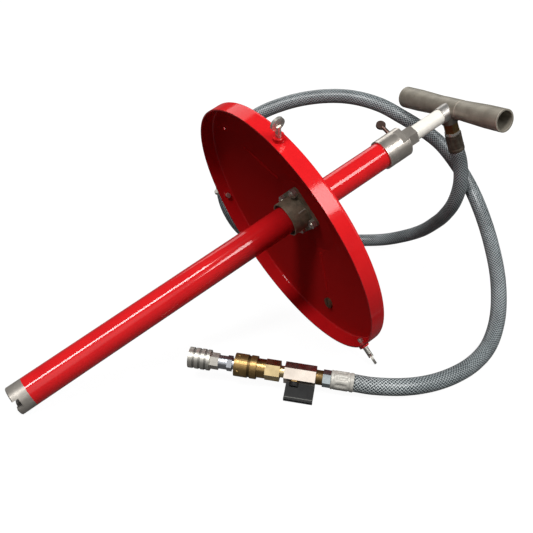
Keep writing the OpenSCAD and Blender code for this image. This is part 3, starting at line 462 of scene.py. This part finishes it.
def make_groups():
    """Node groups that several finishes share."""
    number, vector, rgba = "NodeSocketFloat", "NodeSocketVector", "NodeSocketColor"

    t, given, out = new_group(
        "Mottle",
        [("Vector", vector), ("Scale", number), ("Dark", rgba), ("Light", rgba)],
        [("Color", rgba), ("Mask", number)],
    )
    spots = t.noise(given["Vector"], given["Scale"], detail=4.0, roughness=0.6)
    mask = t.span(spots, 0.32, 0.68, smooth=True)
    t.join(mask, out["Mask"])
    t.join(t.mix(mask, given["Dark"], given["Light"]), out["Color"])

    t, given, out = new_group("Turned lines", [("Vector", vector), ("Density", number)], [("Lines", number)])
    fine = t.stretch(given["Vector"], (2.0, 2.0, 260.0))
    lines = t.noise(fine, given["Density"])
    t.join(t.span(lines, 0.3, 0.7), out["Lines"])

    t, given, out = new_group(
        "Scratches", [("Vector", vector), ("Scale", number), ("Share", number)], [("Mask", number)]
    )
    drawn_out = t.stretch(given["Vector"], (1.0, 9.0, 3.0))
    cells = t.noise(drawn_out, given["Scale"], detail=5.0, roughness=0.75)
    edge = t.math("SUBTRACT", 1.0, given["Share"])
    t.join(t.span(cells, edge, t.math("ADD", edge, 0.06), smooth=True), out["Mask"])


class Finish(Tree):
    """A material with a Principled shader, under construction."""

    SOCKETS = {
        "colour": "Base Color", "metal": "Metallic", "rough": "Roughness", "normal": "Normal",
        "coat": "Coat Weight", "coat_rough": "Coat Roughness", "specular": "Specular IOR Level",
    }

    def __init__(self, name):
        self.material = bpy.data.materials.new(name)
        self.material.use_nodes = True
        super().__init__(self.material.node_tree)
        self.shader = self.tree.nodes["Principled BSDF"]

    def set(self, **values):
        for key, value in values.items():
            self.feed(self.shader.inputs[self.SOCKETS[key]], value)
        return self.material


def darker(value, factor):
    return (value[0] * factor, value[1] * factor, value[2] * factor, 1.0)


def red_enamel(name, pan=False):
    """Glossy enamel, a little deeper in places; inside the pan it is dull, and its red is darkened as painted
    shade.
    """
    f, c = Finish(name), colours()
    where = f.place()
    paint = f.mottle(where, 26.0, c.red_deep, c.red)
    scuffs = f.group("Scratches", Vector=where, Scale=120.0, Share=0.30)["Mask"]
    rough = f.math("ADD", f.between(paint["Mask"], 0.17, 0.14), f.math("MULTIPLY", scuffs, 0.03))
    if not pan:
        return f.set(colour=paint["Color"], rough=rough, specular=0.1, coat=0.60, coat_rough=0.07)
    inside = pan_inside(f)
    return f.set(
        # Inside the pan the red turns to the darker red of painted shade
        colour=f.mix(inside, paint["Color"], c.red_inside_shade),
        rough=rough,
        specular=0.0,
        coat=f.between(inside, 0.5, 0.02),
        coat_rough=0.12,
    )


def pan_inside(f):
    """One on the panel's inner side: faces that look to the foot, inside the flange; it marks the painted shade
    and the thinner coat.
    """
    reach = f.reach(f.place(*COVER_FRAME))
    facing = f.dot(f.add("ShaderNodeNewGeometry").outputs["Normal"], PUMP_AXIS)
    return f.math("MULTIPLY", f.fade(reach, *PANEL_EDGE), f.fade(facing, *PANEL_FACING))


def groove_shade(f, where, outside):
    """Painted shade: one in the grooves of a sleeve, nothing on its outside."""
    return f.fade(f.reach(where), outside - GROOVE_SHADED, outside - GROOVE_UNSHADED)


def turned_metal(name, tone, at, rough=0.3, density=3.0, metal=1.0, outside=None):
    """Metal turned in a lathe, with fine lines round its axis and painted shade in the grooves below its
    outside.
    """
    f = Finish(name)
    where = f.place(*at)
    lines = f.turned_lines(where, density)
    spots = f.mottle(where, 90.0, darker(tone, 0.78), tone)
    skin = f.mix(f.between(lines, 0.0, 0.25), spots["Color"], darker(tone, 0.624))
    if outside:
        # Painted shade darkens the grooves
        skin = f.mix(groove_shade(f, where, outside), skin, darker(tone, 0.45))
    return f.set(
        colour=skin,
        metal=metal,
        rough=f.between(lines, rough, rough + 0.14),
        normal=f.bump(lines, 0.05, 0.0002),
    )


def cast_metal(name, tone, rough, metal, dark, scale=140.0, grain=0.25):
    """Metal with a mottled, slightly grained skin."""
    f = Finish(name)
    where = f.place()
    spots = f.mottle(where, scale, darker(tone, dark), tone)
    return f.set(
        colour=spots["Color"],
        metal=metal,
        rough=f.between(spots["Mask"], rough + 0.12, rough),
        normal=f.bump(f.noise(where, 900.0), grain, 0.0003),
    )


def raw_tube():
    """Bare steel tube with mill scale, streaks along the bar, and rims on the near side that are rubbed bright
    and painted as highlights.
    """
    f, c = Finish("Raw steel tube"), colours()
    where = f.place()
    streaks = f.noise(f.stretch(where, (240.0, 14.0, 240.0)), 1.0, detail=4.0, roughness=0.65)
    spots = f.mottle(where, 75.0, darker(c.raw_steel, 0.82), darker(c.raw_steel, 1.12))
    tone = f.mix(f.span(streaks, 0.35, 0.7, 0.0, 0.3), spots["Color"], darker(c.raw_steel, 0.7))
    across = f.parts(where)["Y"]
    joint, rim = (f.math("LESS_THAN", f.gap(across, middle), half) for middle, half in GRIP_LINES)
    return f.set(
        colour=f.mix(f.math("MAXIMUM", joint, rim), tone, c.edge_wear_and_highlight),
        # The near grip's rims take the bright edge colour: rubbed bright, and painted as highlights
        metal=0.45,
        rough=f.span(streaks, 0.3, 0.7, 0.40, 0.52),
        normal=f.bump(f.noise(where, 800.0), 0.15, 0.0003),
    )


def neck_steel():
    """Satin steel of the handle's neck; the outlet boss is raw steel, darkened further as painted shade under
    the bar's sleeve.
    """
    f, c = Finish("Neck steel"), colours()
    where = f.place(*PUMP_FRAME)
    lines = f.turned_lines(where, 1.6)
    bright = f.mix(f.between(lines, 0.0, 0.2), c.steel, darker(c.steel, 0.7))
    boss = f.span(f.reach(where), *BOSS_REACH)
    return f.set(
        # The boss is raw steel, darkened further as painted shade under the sleeve
        colour=f.mix(boss, bright, darker(c.raw_steel, 0.42)),
        metal=f.between(boss, 1.0, 0.4),
        rough=f.between(lines, 0.40, 0.50),
        normal=f.bump(lines, 0.1, 0.0002),
    )


def worn_brass(name, tone, sleeve=False):
    """Brass with tarnish; the coupler's sleeve has a knurled band and painted shade in its groove."""
    f = Finish(name)
    where = f.place(*CHAIN_FRAME) if sleeve else f.place()
    spots = f.mottle(where, 160.0, darker(tone, 0.65), tone)
    specks = f.noise(where, 620.0)
    skin = f.mix(f.span(specks, 0.58, 0.72, 0.0, 0.35), spots["Color"], darker(tone, 0.3))
    height = specks
    if sleeve:
        height = f.math("ADD", f.math("MULTIPLY", specks, 0.3), knurl(f, where))
        # Painted shade darkens the sleeve's groove
        skin = f.mix(groove_shade(f, where, SLEEVE_RADIUS), skin, darker(tone, 0.3))
    return f.set(
        colour=skin,
        metal=0.9,
        rough=f.between(spots["Mask"], 0.46, 0.36),
        normal=f.bump(height, 0.1, 0.0004),
    )


def knurl(f, where):
    """Height of crossing ridges in a band round the sleeve."""
    at = f.parts(where)
    across = f.math("MULTIPLY", f.math("ARCTAN2", at["Y"], at["X"]), KNURL_ROUND)
    along = f.math("MULTIPLY", at["Z"], KNURL_ALONG)
    right = f.math("SINE", f.math("ADD", across, along))
    left = f.math("SINE", f.math("SUBTRACT", across, along))
    band = f.math("MULTIPLY", f.span(at["Z"], *KNURL_IN), f.fade(at["Z"], *KNURL_OUT))
    return f.math("MULTIPLY", f.math("MULTIPLY", right, left), band)


def collar_bronze():
    """Dark collar with a painted highlight along its seam."""
    f, c = Finish("Dark bronze"), colours()
    where = f.place(*PUMP_FRAME)
    spots = f.mottle(where, 140.0, darker(c.bronze, 0.55), c.bronze)
    before_plate = f.math("LESS_THAN", f.parts(where)["Z"], COLLAR_PLATE_Z)
    proud = f.span(f.reach(where), *(COLLAR_RADIUS + rise for rise in SEAM_RISE))
    return f.set(
        # Painted highlight on the seam where it stands proud of the collar
        colour=f.mix(f.math("MULTIPLY", proud, before_plate), spots["Color"], c.edge_wear_and_highlight),
        metal=0.3,
        rough=f.between(spots["Mask"], 0.54, 0.42),
        normal=f.bump(f.noise(where, 900.0), 0.25, 0.0003),
    )


def hex_brass():
    """Brass that is bright on the hexagon and darker on the round part under the sleeve."""
    f, c = Finish("Bright brass"), colours()
    where = f.place(*CHAIN_FRAME)
    on_hexagon = f.span(f.parts(where)["Z"], *COUPLER_HEX)
    spots = f.mottle(where, 120.0, darker(c.hex_brass, 0.8), c.hex_brass)
    return f.set(
        colour=f.mix(on_hexagon, c.brass, spots["Color"]),
        metal=1.0,
        rough=f.between(spots["Mask"], 0.36, 0.24),
        normal=f.bump(f.noise(where, 900.0), 0.01, 0.0003),
    )


def moulded(name, tone, rough, scale=500.0, grain=0.1, dark=0.85):
    """Plastic, rubber or leather with a fine moulded grain."""
    f = Finish(name)
    where = f.place()
    spots = f.mottle(where, 45.0, darker(tone, dark), tone)
    skin = f.noise(where, scale, roughness=0.6)
    return f.set(
        colour=spots["Color"],
        rough=f.span(skin, 0.3, 0.7, rough - 0.05, rough + 0.08),
        normal=f.bump(skin, grain, 0.0003),
    )


def lever_black():
    """Black moulded lever with a painted highlight along the edge of its lip."""
    f, c = Finish("Black lever"), colours()
    where = f.place(*CHAIN_FRAME)
    line = f.fade(f.gap(f.dot(where, STEM), LIP_REACH), *LIP_HIGHLIGHT)
    grain = f.noise(where, 900.0, roughness=0.6)
    # Painted highlight along the lip's edge, broken up by the grain
    lip_highlight_mask = f.math("MULTIPLY", line, f.span(grain, 0.3, 0.6, 0.5, 1.0))
    spots = f.mottle(where, 60.0, darker(c.black, 0.8), darker(c.black, 1.3))
    return f.set(
        colour=f.mix(lip_highlight_mask, spots["Color"], c.lip_highlight),
        rough=f.span(grain, 0.3, 0.7, 0.36, 0.48),
        normal=f.bump(grain, 0.12, 0.0002),
        specular=0.2,
    )


def braided_hose():
    """Soft clear wall over a braid of threads that pass over and under each other."""
    f, c, s = Finish("Braided hose"), colours(), sizes()
    at = f.parts(f.add("ShaderNodeUVMap", uv_map="Length").outputs["UV"])
    across = f.math("MULTIPLY", at["X"], float(s.braid_threads))
    along = f.math("MULTIPLY", at["Y"], s.braid_rise)
    right, left = f.math("ADD", across, along), f.math("SUBTRACT", across, along)

    def thread(count):
        middle = f.gap(f.math("FRACT", count), 0.5)
        return f.span(middle, *THREAD_EDGE, 1.0, 0.0, smooth=True)

    crossing = f.math("ADD", f.math("FLOOR", right), f.math("FLOOR", left))
    over = f.math("ABSOLUTE", f.math("MODULO", crossing, 2.0))
    first = f.math("MULTIPLY", thread(right), f.between(over, THREAD_UNDER, 1.0))
    second = f.math("MULTIPLY", thread(left), f.between(over, 1.0, THREAD_UNDER))
    braid = f.math("MAXIMUM", first, second)
    cloud = f.noise(f.place(), 30.0, detail=2.0, roughness=0.5)
    wall = f.mix(f.span(cloud, 0.3, 0.7), darker(c.hose, 0.8), darker(c.hose, 1.2))
    bare = f.mix(f.span(at["Y"], *BARE_THREADS, smooth=True), c.thread, c.bare_thread)
    shown = f.math("MULTIPLY", braid, f.span(cloud, 0.3, 0.7, 0.65, 0.95))
    return f.set(
        colour=f.mix(shown, wall, bare),
        rough=f.between(braid, 0.32, 0.44),
        normal=f.bump(braid, 0.25, 0.0004),
        coat=0.10,
        coat_rough=0.15,
    )


def make_finishes():
    """All finishes, by the record's slot, and those of single pieces."""
    c = colours()
    make_groups()
    tip_zinc = darker(c.zinc, 0.85)
    return {
        "red_paint": red_enamel("Red enamel"),
        "pan": red_enamel("Cover enamel", pan=True),
        "neck": neck_steel(),
        "hex_brass": hex_brass(),
        "dull_steel": cast_metal("Dull steel", c.dull_steel, 0.34, 0.9, 0.7, grain=0.08),
        "dark_brass": worn_brass("Dark brass", darker(c.brass, 0.55)),
        "vent": cast_metal("Tarnished plug", c.vent, 0.36, 0.8, 0.4, scale=260.0),
        "outlet_ferrule": cast_metal("Umber ferrule", c.umber, 0.40, 0.55, 0.6, scale=220.0),
        "aluminium": turned_metal("Turned aluminium", c.aluminium, PUMP_FRAME, rough=0.26, metal=0.88),
        "foot": turned_metal("Dull foot", darker(c.aluminium, 0.62), PUMP_FRAME, rough=0.36, metal=0.55),
        "steel": turned_metal("Satin steel", c.steel, PUMP_FRAME, density=1.6),
        "raw_steel": raw_tube(),
        "zinc": cast_metal("Zinc plate", c.zinc, 0.24, 0.8, 0.6, grain=0.05),
        "bronze": collar_bronze(),
        "brass": worn_brass("Worn brass", c.brass),
        "nut": cast_metal("Swivel nut", c.nut, 0.26, 0.95, 0.8, grain=0.06),
        "nickel": cast_metal("Warm plate", c.nickel, 0.24, 1.0, 0.85, scale=60.0, grain=0.015),
        "rod_plastic": moulded("White rod", c.rod, 0.35, grain=0.04, dark=0.95),
        "black_plastic": lever_black(),
        "hose": braided_hose(),
        "seal": moulded("Black seal", c.black, 0.6),
        "ptfe": moulded("White bush", c.rod, 0.45),
        "leather": moulded("Oiled leather", c.leather, 0.55, scale=350.0, grain=0.5, dark=0.6),
        "coupler_sleeve": worn_brass("Knurled brass", c.brass, sleeve=True),
        "tip": turned_metal("Turned end coupler", tip_zinc, CHAIN_FRAME, rough=0.34, metal=0.9),
        "tip_sleeve": turned_metal(
            "Grooved end sleeve", tip_zinc, CHAIN_FRAME, rough=0.34, metal=0.9, outside=TIP_SLEEVE_RADIUS
        ),
        "plug": turned_metal("Turned plug", c.plug, CHAIN_FRAME, rough=0.22),
        "end_ferrule": cast_metal("Pale ferrule", c.pale, 0.46, 0.25, 0.7, scale=220.0),
    }


FINISHES = {}


def finish(name):
    """The finish of that name; all are made when the first one is asked for."""
    if not FINISHES:
        FINISHES.update(make_finishes())
    return FINISHES[name]


def smooth_line(points, step):
    """Points along a smooth curve through the given ones, about one step apart."""
    ends = [2 * points[0] - points[1], *points, 2 * points[-1] - points[-2]]
    line = []
    for p0, p1, p2, p3 in zip(ends, ends[1:], ends[2:], ends[3:]):
        t1 = (p1 - p0).length ** 0.5
        t2 = t1 + (p2 - p1).length ** 0.5
        t3 = t2 + (p3 - p2).length ** 0.5
        count = max(2, round((p2 - p1).length / step))
        for k in range(count):
            t = t1 + (t2 - t1) * k / count
            a1 = p0.lerp(p1, t / t1)
            a2 = p1.lerp(p2, (t - t1) / (t2 - t1))
            a3 = p2.lerp(p3, (t - t2) / (t3 - t2))
            b1 = a1.lerp(a2, t / t2)
            b2 = a2.lerp(a3, (t - t1) / (t3 - t1))
            line.append(b1.lerp(b2, (t - t1) / (t2 - t1)))
    return [*line, points[-1]]


def hose_points():
    """The hose's centreline, straight out of both ferrules."""
    first = PUMP @ Vector((OUTLET_FERRULE[1], 0.0, OUTLET_Z))
    last = CHAIN @ Vector((0.0, 0.0, END_FERRULE[1]))
    back = CHAIN @ Vector((0.0, 0.0, END_FERRULE[1] + HOSE_LEAD))
    route = [first, first + HOSE_LEAD * PUMP_DOWN, *(Vector(p) for p in HOSE_ROUTE), back, last]
    return smooth_line(route, sizes().hose_step)


def bridge(bm, low, high):
    """Faces between two rings of as many points."""
    sides = len(low)
    edges = [bm.edges.get((ring[k], ring[(k + 1) % sides])) for ring in (low, high) for k in range(sides)]
    return bmesh.ops.bridge_loops(bm, edges=edges)["faces"]


def close_ends(bm, rings):
    """Lids on a row of rings, with all faces outwards."""
    for ring in (rings[0], rings[-1]):
        rim = [bm.edges.get((a, b)) for a, b in zip(ring, [*ring[1:], ring[0]])]
        bmesh.ops.contextual_create(bm, geom=rim)
    bmesh.ops.recalc_face_normals(bm, faces=bm.faces)


def hose_mesh(bm, line):
    """A tube along the line, with a UV map of turns round it and circumferences along it."""
    s = sizes()
    radius, sides = s.hose_diameter / 2, s.hose_sides
    uv = bm.loops.layers.uv.new("Length")
    side = (line[1] - line[0]).normalized().orthogonal().normalized()
    length, rings, lengths = 0.0, [], []
    for k, at in enumerate(line):
        before, after = line[max(k - 1, 0)], line[min(k + 1, len(line) - 1)]
        heading = (after - before).normalized()
        side = (side - side.dot(heading) * heading).normalized()
        length += (at - before).length / (math.tau * radius)
        level = axes_at(at, side, heading.cross(side), heading)
        made = bmesh.ops.create_circle(bm, cap_ends=False, radius=radius, segments=sides, matrix=level)
        rings.append(made["verts"])
        lengths.append(length)
    for low, high, v0, v1 in zip(rings, rings[1:], lengths, lengths[1:]):
        place = {vert: (k, v) for ring, v in ((low, v0), (high, v1)) for k, vert in enumerate(ring)}
        for face in bridge(bm, low, high):
            turns = [place[loop.vert][0] for loop in face.loops]
            seam = max(turns) - min(turns) > 1
            for loop, turn in zip(face.loops, turns):
                turn += sides if seam and turn == 0 else 0
                loop[uv].uv = (turn / sides, place[loop.vert][1])
    close_ends(bm, rings)


def ferrule_mesh(bm, where, span):
    """A ferrule with round edges, pressed by jaws all round and rolled in on both sides of them."""
    s = sizes()
    low, high = span
    rings = []
    for k in range(FERRULE_STEPS + 1):
        share = k / FERRULE_STEPS
        z = low + (high - low) * share
        short = FERRULE_EDGE - min(z - low, high - z, FERRULE_EDGE)
        radius = s.ferrule_radius - FERRULE_EDGE + math.sqrt(max(FERRULE_EDGE ** 2 - short ** 2, 0.0))
        roll = sum(depth * math.exp(-((share - middle) / width) ** 2) for middle, width, depth in ROLLS)
        level = where @ Matrix.Translation((0.0, 0.0, z))
        ring = bmesh.ops.create_circle(
            bm, cap_ends=False, radius=radius - s.crimp_depth * roll, segments=FERRULE_SIDES, matrix=level
        )["verts"]
        press = max(0.0, 1.0 - abs(share - JAW_MIDDLE) / JAW_REACH) ** JAW_FLATNESS * s.crimp_depth / radius
        from_centre = Matrix.Translation(-level.translation)
        for n, vert in enumerate(ring):
            jaw = 0.5 + 0.5 * math.cos(s.crimp_jaws * math.tau * n / FERRULE_SIDES)
            shrink = 1.0 - press * jaw ** JAW_SHARPNESS
            bmesh.ops.scale(bm, verts=[vert], vec=Vector((shrink, shrink, shrink)), space=from_centre)
        rings.append(ring)
    for low_ring, high_ring in zip(rings, rings[1:]):
        bridge(bm, low_ring, high_ring)
    close_ends(bm, rings)


def pins_mesh(bm):
    """Low round pin heads that stand a little out of the brass sleeve."""
    flat = Matrix.Diagonal((PIN_FLATNESS, 1.0, 1.0, 1.0))
    for k in range(PIN_COUNT):
        turn = Matrix.Rotation(PIN_TURN + k * math.tau / PIN_COUNT, 4, "Z")
        place = CHAIN @ turn @ Matrix.Translation((SLEEVE_RADIUS, 0.0, PIN_Z)) @ flat
        bmesh.ops.create_uvsphere(bm, u_segments=20, v_segments=12, radius=sizes().pin_radius, matrix=place)


def pale_floor():
    """Pale floor: it takes the shadow, and shows white to the camera and, dimmer, in mirrors and glass."""
    s = studio()
    material = bpy.data.materials.new("Pale floor")
    material.use_nodes = True
    material.node_tree.nodes.clear()
    t = Tree(material.node_tree)
    where = t.place()
    plain = t.add("ShaderNodeBsdfDiffuse")
    grain = t.span(t.noise(where, 40.0, detail=2.0, roughness=0.5), 0.3, 0.7)
    t.join(t.mix(grain, FLOOR_DARK, FLOOR_LIGHT), plain.inputs["Color"])
    white = t.span(t.length(where), *FLOOR_FADE, s.floor_glow, 1.0, smooth=True)
    camera, mirror = t.rays()
    seen = t.math("MAXIMUM", camera, t.math("MULTIPLY", mirror, s.mirror_glow))
    glow = t.add("ShaderNodeEmission")
    t.join(t.math("MULTIPLY", seen, white), glow.inputs["Strength"])
    both = t.add("ShaderNodeAddShader")
    t.join(plain.outputs[0], both.inputs[0])
    t.join(glow.outputs[0], both.inputs[1])
    t.join(both.outputs[0], t.add("ShaderNodeOutputMaterial").inputs["Surface"])
    return material


def add_lamp(name, power, place, target, size, along):
    """A rectangular lamp that faces its target, with one side along a direction."""
    data = bpy.data.lights.new(name, "AREA")
    data.shape = "RECTANGLE"
    data.size, data.size_y = size
    data.energy = power
    lamp = bpy.data.objects.new(name, data)
    back = (Vector(place) - Vector(target)).normalized()
    side = (along - along.dot(back) * back).normalized()
    lamp.matrix_world = axes_at(place, side, back.cross(side), back)
    bpy.context.scene.collection.objects.link(lamp)


def light_world(scene):
    """White to the camera, a card and a dim wall to mirrors and glass, and a soft light to all else."""
    s = studio()
    scene.world = bpy.data.worlds.new("Studio")
    scene.world.use_nodes = True
    t = Tree(scene.world.node_tree)
    sky = t.add("ShaderNodeTexCoord").outputs["Generated"]
    height = t.parts(sky)["Z"]
    card = t.span(t.dot(sky, FRONT_CARD), *CARD_EDGE, 0.0, s.front_card, smooth=True)
    wall = t.span(height, *WALL_RISE, *WALL_GLOW, smooth=True)
    soft = t.math("MULTIPLY", t.span(height, *SKY_RISE, *SKY_SHARE), s.ambient)
    camera, mirror = t.rays()
    mirrored = t.math("MULTIPLY", mirror, t.math("MAXIMUM", card, wall))
    lit = t.math("MULTIPLY", t.math("SUBTRACT", 1.0, mirror), soft)
    back = t.tree.nodes["Background"]
    t.join(t.math("MAXIMUM", camera, t.math("ADD", mirrored, lit)), back.inputs["Strength"])
    back.inputs["Color"].default_value = (1.0, 1.0, 1.0, 1.0)


class PUMP_OT_camera(bpy.types.Operator):
    """Sets the camera at the viewing angle of the picture"""

    bl_idname = "pump.camera"
    bl_label = "Camera"

    def execute(self, context):
        data = bpy.data.cameras.new("Camera")
        data.sensor_width = CAMERA_SENSOR
        data.lens = CAMERA_LENS
        camera = bpy.data.objects.new("Camera", data)
        right = CAMERA_FORWARD.cross(CAMERA_ABOVE).normalized()
        camera.matrix_world = axes_at(CAMERA_PLACE, right, right.cross(CAMERA_FORWARD), -CAMERA_FORWARD)
        context.scene.collection.objects.link(camera)
        context.scene.camera = camera
        return {"FINISHED"}


class PUMP_OT_hose(bpy.types.Operator):
    """Sweeps the braided hose along its route and crimps a ferrule on each end"""

    bl_idname = "pump.hose"
    bl_label = "Hose"

    def execute(self, context):
        line = hose_points()
        hose = add_piece("hose", lambda bm: hose_mesh(bm, line), finish("hose"))
        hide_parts("hose_run")
        near = add_piece(
            "handle_ferrule", lambda bm: ferrule_mesh(bm, OUTLET, OUTLET_FERRULE), finish("outlet_ferrule"),
            "plunger",
        )
        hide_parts("outlet_ferrule")
        far = add_piece(
            "valve_ferrule", lambda bm: ferrule_mesh(bm, CHAIN, END_FERRULE), finish("end_ferrule"),
            "barrel",
        )
        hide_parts("end_ferrule")
        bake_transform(hose)
        return {"FINISHED"}


class PUMP_OT_pins(bpy.types.Operator):
    """Sets the round pins into the brass sleeve"""

    bl_idname = "pump.pins"
    bl_label = "Coupler pins"

    def execute(self, context):
        add_piece("coupler_pins", pins_mesh, finish("brass"), "brass_coupler_sleeve")
        return {"FINISHED"}


class PUMP_OT_finishes(bpy.types.Operator):
    """Gives each CAD piece its finish"""

    bl_idname = "pump.finishes"
    bl_label = "Finishes"

    def execute(self, context):
        slots = {s["node"]: s["material_slot"] for s in frame["record"]["subparts"]}
        for name, piece in nodes.items():
            piece.data.materials.clear()
            piece.data.materials.append(finish(OWN_FINISH.get(name, slots[name])))
        return {"FINISHED"}


class PUMP_OT_stage(bpy.types.Operator):
    """Lays the pale floor and sets the studio light"""

    bl_idname = "pump.stage"
    bl_label = "Stage"

    def execute(self, context):
        floor = add_piece(
            "floor",
            lambda bm: bmesh.ops.create_grid(bm, x_segments=1, y_segments=1, size=FLOOR_SIZE),
            pale_floor(),
        )
        for name, power, place, target, size, along in LAMPS:
            add_lamp(name, getattr(studio(), power), place, target, size, along)
        light_world(context.scene)
        context.scene.view_settings.view_transform = "Standard"
        return {"FINISHED"}


class PUMP_PT_sidebar(bpy.types.Panel):
    """Shows the pump's operators and settings in the sidebar"""

    bl_idname = "PUMP_PT_sidebar"
    bl_label = "Hand pail pump"
    bl_space_type = "VIEW_3D"
    bl_region_type = "UI"
    bl_category = "Pump"

    def draw(self, context):
        for operator in OPERATORS:
            self.layout.operator(operator.bl_idname)
        for group in (sizes(), colours(), studio()):
            for name in group.__annotations__:
                self.layout.prop(group, name)


OPERATORS = (PUMP_OT_camera, PUMP_OT_hose, PUMP_OT_pins, PUMP_OT_finishes, PUMP_OT_stage)
CLASSES = (PumpSizes, PumpColours, PumpStudio, *OPERATORS, PUMP_PT_sidebar)


def register():
    for cls in CLASSES:
        bpy.utils.register_class(cls)
    bpy.types.Scene.pump_sizes = PointerProperty(type=PumpSizes)
    bpy.types.Scene.pump_colours = PointerProperty(type=PumpColours)
    bpy.types.Scene.pump_studio = PointerProperty(type=PumpStudio)


def unregister():
    del bpy.types.Scene.pump_sizes
    del bpy.types.Scene.pump_colours
    del bpy.types.Scene.pump_studio
    for cls in reversed(CLASSES):
        bpy.utils.unregister_class(cls)


def main():
    register()
    bpy.ops.pump.camera()
    bpy.ops.pump.hose()
    bpy.ops.pump.pins()
    bpy.ops.pump.finishes()
    bpy.ops.pump.stage()


if __name__ == "__main__":
    main()
